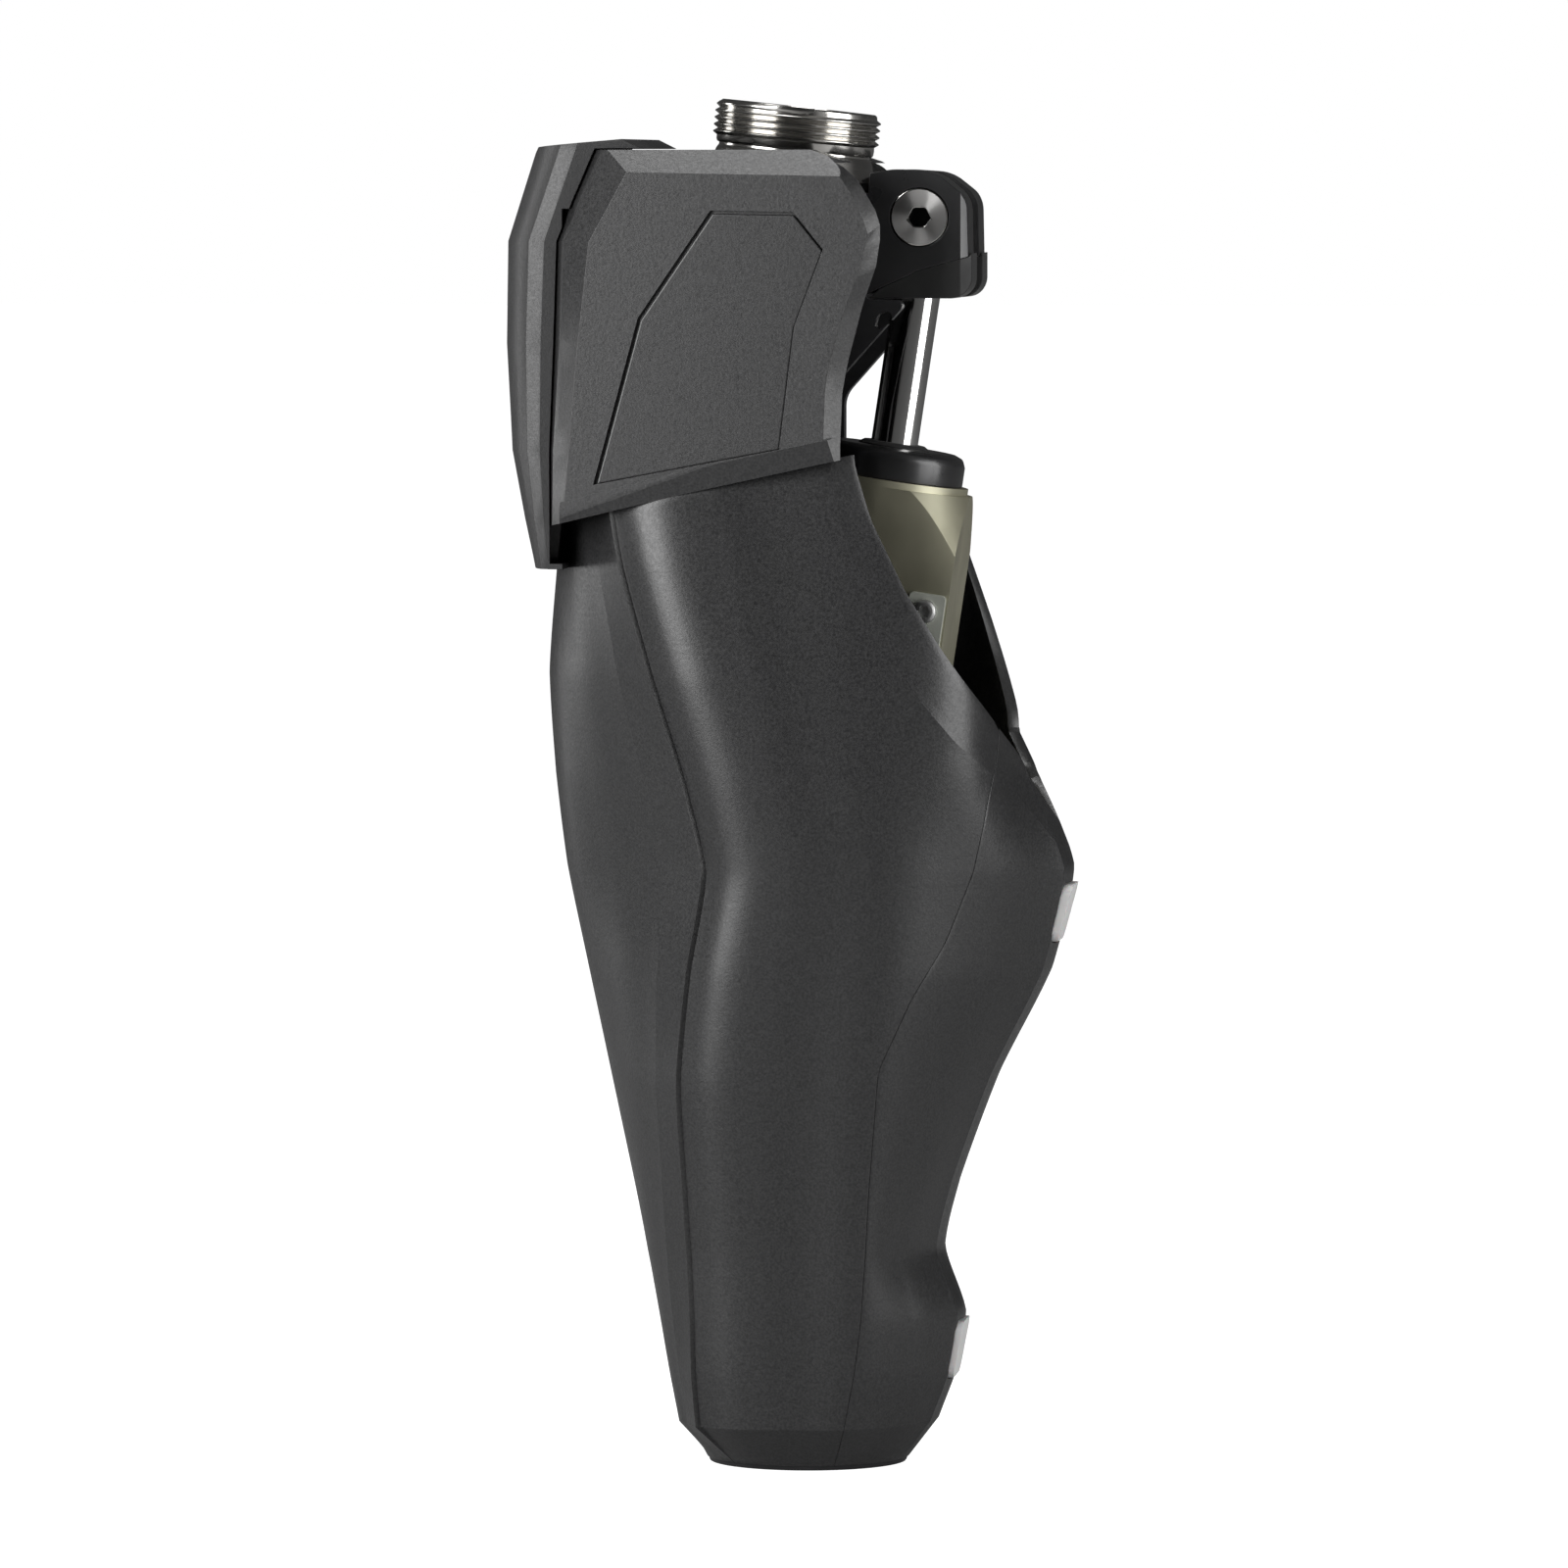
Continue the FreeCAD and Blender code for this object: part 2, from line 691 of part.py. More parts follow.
frameCorners = [
    ("axleX - 26", "axleZ + 18.5", 8),
    ("axleX + 17.5", "axleZ + 18.5", 14),
    ("axleX + 18.5", "axleZ - 3"),
    ("axleX + 21", "axleZ - 9.4", 1.5),
    ("axleX + 30", "axleZ - 9.6", 1.2),
    ("axleX + 18.6", "axleZ - 22.4", 4),
    ("axleX + 11", "axleZ - 31", 6),
    ("axleX + 11", "axleZ - 52", 12),
    ("axleX + 30", "axleZ - 82", 12),
    ("axleX + 30", "axleZ - 140", 12),
    (15, 88, 12),
    (14.5, 38, 4),
    (-18, 38, 4),
    (-20, 62, 10),
    (-28, "axleZ - 158", 12),
    (-31, "axleZ - 100", 14),
    (-40, "axleZ - 50", 10),
    ("axleX - 26", "axleZ - 18", 14),
]


def shinFrame():
    """two side plates joined by a front web, standing on the pylon clamp"""
    frame = body("ShinFrame")
    side = outline(frame, "FrameSide", "XZ_Plane", frameCorners)
    pad(frame, side, "(headHalf + washerGap + railWall) * 2")
    roundCorners(frame, frameCorners, ("0", "0"))
    channel = [
        (-60, "axleZ - 50"),
        (-36, "axleZ - 50"),
        (-27, "axleZ - 100"),
        (-24, "axleZ - 157"),
        (-16, 64),
        (-15, "clampTop + 2"),
        (60, "clampTop + 2"),
        (60, "axleZ + 40"),
        (-60, "axleZ + 40"),
    ]
    inside = outline(frame, "FrameChannel", "XZ_Plane", channel)
    pocket(frame, inside, "(headHalf + washerGap) * 2")
    bridge = [
        ("axleX - 26", "axleZ + 6", 2),
        ("axleX - 20.8", "axleZ + 6", 2),
        ("axleX - 20.8", "axleZ + 17.5"),
        ("axleX - 26", "axleZ + 10.5"),
    ]
    pad(frame, outline(frame, "FrameBridge", "XZ_Plane", bridge), "(headHalf + washerGap) * 2 + 2")
    bores = [("axleX", "axleZ", "bearingRadius + axleFit")]
    pocket(frame, rings(frame, "EarBores", "XZ_Plane", bores), "120")
    lugHole = [
        ("axleX + 23.4", "axleZ - 12.6", 1.9),
        ("axleX + 26.6", "axleZ - 11.4", 1.9),
        ("axleX + 26.2", "axleZ - 14.2", 1.6),
        ("axleX + 22.2", "axleZ - 16.8", 1.6),
    ]
    pocket(frame, outline(frame, "LugHole", "XZ_Plane", lugHole), "120")
    roundCorners(frame, lugHole, ("0", "0"), 0.55)
    window = [
        (f"{pivotPoint.x:.2f} - 16.5", f"{pivotPoint.z:.2f} - 23", 5),
        (f"{pivotPoint.x:.2f} + 17", f"{pivotPoint.z:.2f} - 23", 5),
        (f"{pivotPoint.x:.2f} + 17", f"{pivotPoint.z:.2f} + 6.5", 5),
        (f"{pivotPoint.x:.2f} - 16.5", f"{pivotPoint.z:.2f} + 6.5", 5),
    ]
    pocket(frame, outline(frame, "PivotWindow", "XZ_Plane", window), "120")
    roundCorners(frame, window, ("0", "0"))
    turned(frame, [
        (0, "clampTop + 2"),
        ("clampRadius", "clampTop + 2"),
        ("clampRadius", 9),
        ("clampRadius - 1.8", 2.2),
        ("clampRadius - 2.6", 0),
        (0, 0),
    ], "Collar")
    webWindow = outline(frame, "WebWindow", "YZ_Plane", [
        (-12.5, "axleZ - 126"),
        (12.5, "axleZ - 126"),
        (12.5, "axleZ - 74"),
        (-12.5, "axleZ - 74"),
    ])
    webWindow.AttachmentOffset = FreeCAD.Placement(vec(0, 0, -30), FreeCAD.Rotation())
    pocket(frame, webWindow, "24")
    seats = [("clampScrewX", "clampScrewZ", "clampScrewRadius * 2.1")]
    pocket(frame, rings(frame, "ScrewSeats", "XZ_Plane", seats), "80")
    ears = [
        (10, "clampScrewZ - 5.2"),
        ("clampScrewX + 3.8", "clampScrewZ - 5.2"),
        ("clampScrewX + 3.8", "clampScrewZ + 5.2"),
        (10, "clampScrewZ + 5.2"),
    ]
    pad(frame, outline(frame, "ClampEars", "XZ_Plane", ears), "14")
    turned(frame, [
        (0, -1),
        ("pylonRadius", -1),
        ("pylonRadius", "clampDepth"),
        (0, "clampDepth"),
    ], "PylonBore", cut=True)
    slit = [(10, -1), (40, -1), (40, "clampDepth - 4"), (10, "clampDepth - 4")]
    pocket(frame, outline(frame, "ClampSlit", "XZ_Plane", slit), "2.4")
    hole = [("clampScrewX", "clampScrewZ", "clampScrewRadius + 0.1")]
    pocket(frame, rings(frame, "ClampHole", "XZ_Plane", hole), "60")
    return keep(frame, "shin_frame")


def clampScrew():
    """cap screw across the slit, with its nut"""
    screw = body("ClampScrew")
    turned(screw, [
        (0, -10.5),
        ("clampScrewRadius", -10.5),
        ("clampScrewRadius", 7),
        ("clampScrewRadius * 1.75", 7),
        ("clampScrewRadius * 1.75", 9.6),
        ("clampScrewRadius * 1.5", 10.1),
        (0, 10.1),
    ])
    hexSocket(screw, 3, 1.6, 10.1)
    spot = (size("clampScrewX"), 0, size("clampScrewZ"))
    place(screw, spot, crossTurn)
    keep(screw, "clamp_screw")
    nut = body("ClampNut")
    shape = outline(nut, "Hexagon", "XY_Plane", hexagonCorners(6.4))
    shape.AttachmentOffset = FreeCAD.Placement(vec(0, 0, -8.6), FreeCAD.Rotation())
    pad(nut, shape, "3.2")
    pocket(nut, rings(nut, "NutBore", "XY_Plane", [("0", "0", "clampScrewRadius + 0.05")]), "60")
    place(nut, spot, crossTurn)
    keep(nut, "clamp_nut")


def extensionStop():
    """rubber block on the frame's bridge that the head leans on at full extension"""
    stop = body("ExtensionStop")
    corners = [
        ("axleX - 20.8", "axleZ + 10.4"),
        ("axleX - 16.3", "axleZ + 10.4", 1),
        ("axleX - 16.3", "axleZ + 16", 1),
        ("axleX - 20.8", "axleZ + 16"),
    ]
    pad(stop, outline(stop, "StopSide", "XZ_Plane", corners), "26")
    roundCorners(stop, corners, ("0", "0"))
    keep(stop, "extension_stop")


# Posts between the frame's side plates and the shells: x, z, reach from the middle
def posts(label, spots):
    group = []
    for i, (x, z, reach) in enumerate(spots):
        post = body(f"{label}{i}")
        turned(post, [
            (0, "headHalf + washerGap + railWall"),
            ("postRadius + 1", "headHalf + washerGap + railWall"),
            ("postRadius", "headHalf + washerGap + railWall + 2"),
            ("postRadius", f"{reach} - postGap"),
            (0, f"{reach} - postGap"),
        ])
        place(post, (x, 0, z), crossTurn)
        group.append(both(f"{label}{i}", post))
    return keep(gather(label + "All", group), label)


def electronics(frame):
    """battery in the frame, board in front of it on four posts"""
    tray = body("BatteryTray")
    sides = [(-13.5, "clampTop + 2"), (13, "clampTop + 2"), (13, "clampTop + 11"), (-13.5, "clampTop + 11")]
    pad(tray, outline(tray, "TraySide", "XZ_Plane", sides), "41")
    hollow = [(-12, "clampTop + 3.4"), (11.5, "clampTop + 3.4"), (11.5, "clampTop + 20"), (-12, "clampTop + 20")]
    pocket(tray, outline(tray, "TrayHollow", "XZ_Plane", hollow), "38")
    keep(tray, "battery_tray")
    battery = body("Battery")
    corners = [
        (-11.8, "clampTop + 3.6", 2),
        (11.3, "clampTop + 3.6", 2),
        (11.3, "clampTop + 50", 2),
        (-11.8, "clampTop + 50", 2),
    ]
    pad(battery, outline(battery, "BatterySide", "XZ_Plane", corners), "37.6")
    roundCorners(battery, corners, ("0", "0"))
    keep(battery, "battery")
    board = doc.addObject("Part::Box", "Board")
    board.Length = 1.6
    board.Width = 34
    board.Height = 50
    board.setExpression("Placement.Base.x", bound("-41.4"))
    board.setExpression("Placement.Base.y", bound("-17"))
    board.setExpression("Placement.Base.z", bound("axleZ - 122"))
    keep(board, "circuit_board")
    pillars = []
    for i, (y, rise, reach) in enumerate([(-14.8, 4, 11), (14.8, 4, 11), (-14.8, 46, 5.8), (14.8, 46, 5.8)]):
        pillar = doc.addObject("Part::Cylinder", f"BoardPillar{i}")
        pillar.Radius = 1.9
        pillar.Height = reach
        place(pillar, (-39.8, y, axleZ - 122 + rise), FreeCAD.Rotation(across, 90))
        pillars.append(pillar)
    standing = doc.addObject("Part::Cut", "BoardPosts")
    standing.Base = gather("BoardPillars", pillars)
    standing.Tool = frame
    doc.recompute()
    keep(standing, "board_posts")


# Shells: sections stand at these heights and are half outlines from front to back

shinScale = (axleZ - 44) / (262 - 44)


def shinHeight(z):
    """stations spread along the shin as it gets longer"""
    return z if z < 44 else 44 + (z - 44) * shinScale


# height, front x, ridge line (x, share of width), step line (x, share), crown x, ridge x,
# side bulge (x, share), spine edge (x, half width), back x, half width
shinStations = [
    (218, -52.0, -43.5, 0.76, -40.5, 0.90, -18, 16, 30, 0.90, 44, 26, 47, 40.2),
    (196, -54.4, -41.8, 0.74, -36.7, 0.89, -13, 17, 33, 0.90, 46, 27, 49, 42.4),
    (172, -56.2, -37.4, 0.74, -30.0, 0.89, -8, 18, 36, 0.86, 47, 24, 50, 44),
    (150, -54.8, -32.1, 0.74, -23.1, 0.89, -4, 19, 38, 0.78, 49, 13, 51, 44),
    (130, -52.3, -27.6, 0.74, -18.7, 0.89, 0, 20, 41, 0.66, 56.6, 8.5, 58.0, 43),
    (108, -47.7, -29.3, 0.75, -22.4, 0.89, -3, 20, 40, 0.58, 51.9, 8, 53.3, 41),
    (85, -42.8, -29.8, 0.75, -24.8, 0.89, -6, 18.5, 32, 0.60, 40.6, 8, 41.8, 38.4),
    (62, -37.9, -28.8, 0.74, -23.8, 0.89, -7, 16.6, 25.5, 0.64, 32.2, 8, 33.3, 35.2),
    (47, -34.8, -28.0, 0.73, -23.0, 0.89, -7, 15.8, 22.5, 0.66, 28.8, 8, 29.9, 33.2),
    (33, -31.6, -26.9, 0.72, -22.5, 0.89, -7, 14.6, 25.6, 0.62, 33.4, 8, 34.5, 31.8),
    (21, -29.2, -25.6, 0.70, -22.4, 0.88, -7, 13, 24.6, 0.62, 31.8, 8, 32.8, 30.6),
    (9.6, -26.6, -24.0, 0.68, -21.6, 0.87, -7, 10.8, 21.5, 0.64, 27.6, 8, 28.6, 29.2),
]


def halfPoints(row, step):
    """half outline of the calf shell from front to back, with the step behind the blade"""
    z, front, ridgeX, ridgeY, stepX, stepY, crownX, rearX, bulgeX, bulgeY, spineX, spineY, back, half = row
    half = half * size("shellHalf") / 44
    return [
        (front, 0),
        (front + 0.5, 7),
        (ridgeX * 0.5 + front * 0.5 - 1.2, half * ridgeY * 0.5 + 4.6),
        (ridgeX, half * ridgeY),
        (stepX, half * stepY),
        (stepX + 1.0, half * stepY - step + 0.6),
        (stepX + 7, half * 0.965),
        (crownX, half),
        (crownX + 9, half - 0.7),
        (rearX, half * 0.955),
        (bulgeX, half * bulgeY),
        (spineX, spineY),
        (back, 0),
    ]


def shinSection(row, inset):
    """closed wire of the calf shell at one height, moved inwards by inset"""
    step = size("bladeStep") if inset == 0 else 0.2
    return sectionWire(insetOutline(halfPoints(row, step), inset), shinHeight(row[0]))


def insetOutline(points, inset):
    """half outline moved inwards along its corner bisectors"""
    if inset == 0:
        return points
    mirrored = [(points[1][0], -points[1][1])] + points + [(points[-2][0], -points[-2][1])]
    moved = []
    for before, here, after in zip(mirrored, mirrored[1:], mirrored[2:]):
        first = vec(here[0] - before[0], here[1] - before[1], 0)
        second = vec(after[0] - here[0], after[1] - here[1], 0)
        first.normalize()
        second.normalize()
        bisector = vec(first.y + second.y, -first.x - second.x, 0)
        bisector.normalize()
        reach = inset / max(0.5, bisector.dot(vec(first.y, -first.x, 0)))
        moved.append((here[0] + bisector.x * reach, here[1] + bisector.y * reach))
    moved[0] = (moved[0][0], 0)
    moved[-1] = (moved[-1][0], 0)
    return moved


def sectionWire(points, z):
    near = [vec(x, -y, z) for x, y in points]
    far = [vec(x, y, z) for x, y in reversed(points[1:-1])]
    loop = near + far
    return Part.makePolygon(loop + [loop[0]])


def loftThrough(wires, ruled=False):
    return Part.makeLoft(wires, True, ruled)


def prism(points, halfWidth):
    """side outline carried across the part"""
    wire = Part.makePolygon([vec(x, -halfWidth, z) for x, z in points + points[:1]])
    return Part.Face(wire).extrude(vec(0, 2 * halfWidth, 0))


def halfOf(points, side, halfWidth):
    """side outline carried to one side only: -1 is the right, 1 the left"""
    wire = Part.makePolygon([vec(x, 0, z) for x, z in points + points[:1]])
    return Part.Face(wire).extrude(vec(0, side * halfWidth, 0))


def boxBetween(low, high):
    shape = Part.makeBox(high[0] - low[0], high[1] - low[1], high[2] - low[2])
    shape.translate(vec(*low))
    return shape


# Lower edge of the shield, front to back, above the calf shell
lipLine = [(-80, 198), (-49.3, 204.8), (-22.6, 211.2), (9.3, 218.2), (60, 228)]
# Rear opening: edge of the side walls, top to spine
openingLine = [(13.4, 226), (14.2, 217), (18, 206), (26.3, 190.5), (33.5, 178), (41, 166), (46.5, 156.5), (53, 144.5),
               (57.8, 134.5), (70, 131)]
# The same edge on the left side, which stands further back
leftOpening = [(13.4, 226), (16, 220), (23, 211), (29.7, 201), (36.6, 182), (43.1, 163.2), (44, 157.5), (47.5, 152.5),
               (53, 144.5), (57.8, 134.5), (70, 131)]
# Parting line between calf shell and rear cover, bottom to top
partingLine = [(10.8, 0), (10.8, 9.6), (13.2, 22), (14.7, 33), (15.8, 47), (16.8, 62), (19.2, 88), (26, 103),
               (33, 115), (38.8, 130), (41, 140), (43.5, 154), (44.5, 170)]


def raised(points, up=0):
    """outline that follows the knee axis when the shin gets longer"""
    return [(x, shinHeight(z) + up) for x, z in points]


# The band along that opening: where it starts on the outer face, then the edge, front to spine
rimBand = [((8.4, 220), (13.9, 220)), ((9.6, 214), (15.4, 214)), ((12.2, 202), (20.2, 202)), ((19.4, 184), (29.8, 184)),
           ((27.6, 168.5), (39.6, 168.5)), ((36, 158), (48, 158)), ((47.4, 147), (55.6, 147)), ((54.6, 136), (59.6, 136))]


def outerHalf(x, z):
    """half width of the calf shell's outer face at a place"""
    above = ([row for row in shinStations if row[0] >= z] or shinStations[:1])[-1]
    below = [row for row in shinStations if row[0] <= z][0]
    share = (z - below[0]) / max(1, above[0] - below[0])
    row = [low + share * (high - low) for low, high in zip(below, above)]
    side = halfPoints(row, 1)[6:]
    for (x0, y0), (x1, y1) in zip(side, side[1:]):
        if x <= x1:
            return y0 + (y1 - y0) * (x - x0) / (x1 - x0)
    return 0


def rimCutter(side):
    """what the bevelled band takes off the outer face along the opening"""
    drop = size("rimDrop")
    wires = []
    for inner, edge in rimBand:
        ends = []
        for share, extra in ((0, 0), (1.25, 0), (1.25, 12), (0, 12)):
            x = inner[0] + share * (edge[0] - inner[0])
            z = inner[1] + share * (edge[1] - inner[1])
            start = outerHalf(*inner)
            finish = outerHalf(*edge) - drop
            ends.append(vec(x, side * (start + share * (finish - start) + extra), shinHeight(z)))
        wires.append(Part.makePolygon(ends + ends[:1]))
    return Part.makeLoft(wires, True, True)


def shellInside(z):
    """inner half width of the calf shell at its crown"""
    above = [row for row in shinStations if row[0] >= z][-1]
    below = [row for row in shinStations if row[0] <= z][0]
    share = (z - below[0]) / max(1, above[0] - below[0])
    half = below[-1] + share * (above[-1] - below[-1])
    return half * size("shellHalf") / 44 - size("shellWall") - 0.5


def calfShells():
    wall = size("shellWall")
    outer = loftThrough([shinSection(row, 0) for row in shinStations])
    middle = loftThrough([shinSection(row, size("insertDepth")) for row in shinStations])
    insideRows = [list(row) for row in shinStations]
    insideRows[0][0] += 4
    insideRows[-1][0] -= 0.5
    inner = loftThrough([shinSection(row, wall) for row in insideRows])
    low = shinHeight(9.6)
    hollow = outer.cut(inner)
    lip = raised(lipLine, -size("seam"))
    above = prism(lip + [(60, axleZ + 40), (-80, axleZ + 40)], 80)
    opening = halfOf(raised(openingLine) + [(70, axleZ + 40), (13.4, axleZ + 40)], -1, 80)
    opening = opening.fuse(halfOf(raised(leftOpening) + [(70, axleZ + 40), (13.4, axleZ + 40)], 1, 80))
    hollow = hollow.cut(above).cut(opening).cut(rimCutter(-1)).cut(rimCutter(1))
    parting = raised(partingLine)
    rearSide = prism(parting + [(90, parting[-1][1]), (90, 0)], 80)
    gap = size("seam")
    frontParting = [(x - gap, z) for x, z in parting]
    notFront = prism(frontParting + [(90, parting[-1][1]), (90, 0)], 80)
    shell = hollow.cut(notFront)
    cover = hollow.common(rearSide)
    strip = size("insertHalf")
    top = lip[1][1] - 12
    band = boxBetween((-80, -strip, low + 12), (0, strip, top))
    recess = boxBetween((-80, -strip - 0.3, low + 11.7), (0, strip + 0.3, top + 0.3))
    skin = outer.cut(middle)
    insert = skin.common(band)
    shell = shell.cut(skin.common(recess))
    return shell, cover, insert


def tabWindow(x, z, grow):
    """rounded opening for one release tab"""
    half = size("tabHalf") + grow
    tall = size("tabHeight") / 2 + grow
    low = boxBetween((x - 14, -half, z - tall), (x + 8, half, z + tall))
    radius = 2.6 + grow
    edges = [e for e in low.Edges if abs(e.tangentAt(e.FirstParameter).x) > 0.99]
    return low.makeFillet(radius, edges)


# Release tabs: outer face at the middle, lean of that face, height
tabSpots = [("upper_release_tab", 56.7, 0.27, 120), ("lower_release_tab", 33.6, 0.19, 25)]


def leaning(face, lean, z, outer, inner, tall, wide):
    """slab parallel to a tab's leaning face, between two depths below it"""
    reach = tall * lean
    side = [
        (face - outer + reach, z + tall),
        (face - inner + reach, z + tall),
        (face - inner - reach, z - tall),
        (face - outer - reach, z - tall),
    ]
    return prism(side, wide)


def releaseTab(face, lean, z):
    tall = size("tabHeight") / 2
    reach = size("tabReach")
    button = tabWindow(face, z, 0).common(leaning(face, lean, z, 0, reach + 1, tall + 3, 40))
    flange = leaning(face, lean, z, reach, reach + 1, tall + 1, size("tabHalf") - 0.6)
    return button.fuse(flange).removeSplitter()


# Knee shield

def shieldSlope(x):
    """half width of the flat side of the shield at a given x"""
    return size("shieldHalf") + (x - 10) * 0.095


def shieldInside(x):
    """inner half width of the shield's side, where its wall is parallel to the side"""
    return shieldSlope(x) - size("shieldWall") - 0.2


# height, front x, front shoulder x, pad side x, bevel foot x, side plane x
shieldStations = [
    (196, -56.0, -55.0, -52.6, -51.5, -49.6),
    (220, -57.4, -56.4, -53.2, -51.2, -47.2),
    (243, -58.0, -57.0, -53.0, -49.8, -45.3),
    (265, -57.4, -56.3, -52.4, -49.0, -42.8),
    (273.5, -54.6, -53.4, -49.4, -45.4, -38),
    (284.6, -49.4, -48.2, -44.6, -40.4, -32),
]


def shieldSection(row, outset):
    z, front, shoulder, padSide, foot, sideX = row
    points = [
        (front, 0),
        (shoulder, 13),
        (padSide, 27),
        (foot, 34),
        (sideX, shieldSlope(sideX)),
        (30, shieldSlope(30)),
        (34, 0),
    ]
    return sectionWire(insetOutline(points, -outset), z + axleZ - 262)


shieldSide = [(-70, 284.6), (4.6, 284.6), (11.9, 282.2), (16.8, 279.4), (21.3, 273.6), (23.2, 267.6), (23, 262),
              (20.4, 254.8), (16.3, 241), (14.4, 233), (13.8, 221.5), (13.8, 190), (-70, 190)]
bevelSide = [(-64, 279.4), (-16.9, 279.2), (-9, 280.8), (2.4, 282), (10, 278.4), (15.6, 265.2), (11.2, 254.8),
             (7.5, 247.2), (4, 236), (3.6, 221.5), (3.6, 190), (-64, 190)]
# The left side of the shield ends further forward
leftSide = [(-70, 284.6), (4.6, 284.6), (11.9, 282.2), (16.8, 279.4), (21.3, 273.6), (22.6, 267), (20, 261),
            (12.5, 252.5), (6.4, 241), (4.6, 233), (4, 221.5), (4, 190), (-70, 190)]
leftBevel = [(-64, 279.4), (-16.9, 279.2), (-9, 280.8), (2.4, 282), (9.6, 278.4), (14, 266.6), (8, 257.4), (0, 248.4),
             (-5.4, 237), (-6.2, 221.5), (-6.2, 190), (-64, 190)]
lipTop = [(-80, 202), (-49.8, 209.2), (-22.6, 216.2), (6, 222.4), (60, 234)]


def lifted(points):
    """outline that moves with the knee axis"""
    return [(x, z + axleZ - 262) for x, z in points]


def sideLimit(side, bevel, direction, grow):
    """room for one side of the shield: square at the back, bevelled towards its flat side"""
    edge = size("shieldHalf") - size("bevelWidth") + grow
    crest = size("shieldHalf") + 3 + grow
    low = lifted(side)
    high = lifted(bevel)
    wide = Part.makePolygon([vec(x, direction * edge, z) for x, z in low + low[:1]])
    tight = Part.makePolygon([vec(x, direction * crest, z) for x, z in high + high[:1]])
    return halfOf(low, direction, edge).fuse(Part.makeLoft([wide, tight], True, True))


def kneeShieldShape():
    wall = size("shieldWall")
    outer = loftThrough([shieldSection(row, 0) for row in shieldStations], True)
    inner = loftThrough([shieldSection(row, -wall) for row in shieldStations], True)
    clip = sideLimit(shieldSide, bevelSide, -1, 0).fuse(sideLimit(leftSide, leftBevel, 1, 0))
    outer = outer.common(clip)
    ceiling = axleZ + 22.6 - wall
    inner = inner.common(boxBetween((-90, -90, 0), (90, 90, ceiling)))
    shell = outer.cut(inner)
    lip = raised(lipLine)
    below = prism(lip + [(60, 100), (-80, 100)], 90)
    shell = shell.cut(below)
    crown = boxBetween((axleX - 25, -27.5, axleZ), (60, 27.5, axleZ + 60))
    shell = shell.cut(crown)
    # outer band along the lower edge
    fat = loftThrough([shieldSection(row, size("lipProud")) for row in shieldStations[:3]], True)
    thin = loftThrough([shieldSection(row, -1) for row in shieldStations[:3]], True)
    top = raised(lipTop)
    band = prism(lip + list(reversed(top)), 90)
    proud = size("lipProud")
    limit = sideLimit(shieldSide, bevelSide, -1, proud).fuse(sideLimit(leftSide, leftBevel, 1, proud))
    front = boxBetween((-90, -90, 100), (-49.1, 90, axleZ))
    ring = fat.cut(thin).common(band).common(limit).cut(front)
    shell = shell.fuse(ring)
    return shell.removeSplitter()


inlayLine = [(-16.2, 271.3), (1.4, 271), (7.6, 263.4), (1.4, 247), (-1.8, 221.2), (-41.4, 213.6), (-31.8, 248.6)]
leftInlay = [(-16.2, 271.3), (1.4, 271), (6, 265.5), (-8, 246), (-11, 219.5), (-41.4, 213.6), (-31.8, 248.6)]


def sidePlate(points, low, high):
    """plate that lies in the slanted flat side, between two depths from its face"""
    inside = Part.makePolygon([vec(x, shieldSlope(x) + low, z) for x, z in points + points[:1]])
    outside = Part.makePolygon([vec(x, shieldSlope(x) + high, z) for x, z in points + points[:1]])
    return Part.makeLoft([inside, outside], True, True)


def grown(points, margin):
    """outline moved outwards about its middle"""
    loop = points[-1:] + points + points[:1]
    moved = []
    for before, here, after in zip(loop, loop[1:], loop[2:]):
        first = vec(here[0] - before[0], here[1] - before[1], 0)
        second = vec(after[0] - here[0], after[1] - here[1], 0)
        first.normalize()
        second.normalize()
        bisector = vec(-first.y - second.y, first.x + second.x, 0)
        bisector.normalize()
        reach = margin / max(0.3, bisector.dot(vec(-first.y, first.x, 0)))
        moved.append((here[0] + bisector.x * reach, here[1] + bisector.y * reach))
    return moved


def mirrorY(shape):
    return shape.mirror(vec(0, 0, 0), across)


# height, front x, side x of the pad
padStations = [
    (194.8, -57.9, -52.6),
    (205.5, -60.4, -53.6),
    (220, -63.4, -54.4),
    (243, -64.7, -54.2),
    (265, -64.4, -53.4),
    (284, -58.4, -46.8),
    (288, -57.0, -45.6),
]


def padSection(row):
    """rounded plan of the pad at one height"""
    z, front, sideX = row
    half = 31.2
    points = []
    for y in (0, 7, 13, 18.5, 23.5, 27.5, 30.2, half):
        share = (1 - (y / half) ** 2.3) ** (1 / 2.3)
        points.append((sideX - (sideX - front) * share, y))
    points += [(sideX + 16, half), (sideX + 18, 0)]
    return sectionWire(points, z + axleZ - 262)


def padShape():
    """moulded knee pad: a curved front with a short top"""
    gap = size("padGap")
    outer = loftThrough([padSection(row) for row in padStations], True)
    keepRows = [list(row) for row in shieldStations]
    keepRows[-1][0] += gap
    keepOut = loftThrough([shieldSection(row, gap) for row in keepRows], True)
    skyline = [(-70, 281), (-58.4, 283.2), (-56.6, 285.2), (-36.6, 286.9), (-32.8, 285), (-32.8, 260), (60, 260)]
    above = prism(lifted(skyline + [(60, 320), (-70, 320)]), 90)
    shape = outer.cut(keepOut).cut(above)
    low = shinHeight(200)
    calf = loftThrough([shinSection(row, -gap) for row in shinStations[:3]])
    shape = shape.cut(calf)
    back = boxBetween((-49.5, -60, low - 30), (60, 60, axleZ + 10))
    shape = shape.cut(back)
    solids = sorted(shape.Solids, key=lambda s: s.Volume)
    return solids[-1].removeSplitter()


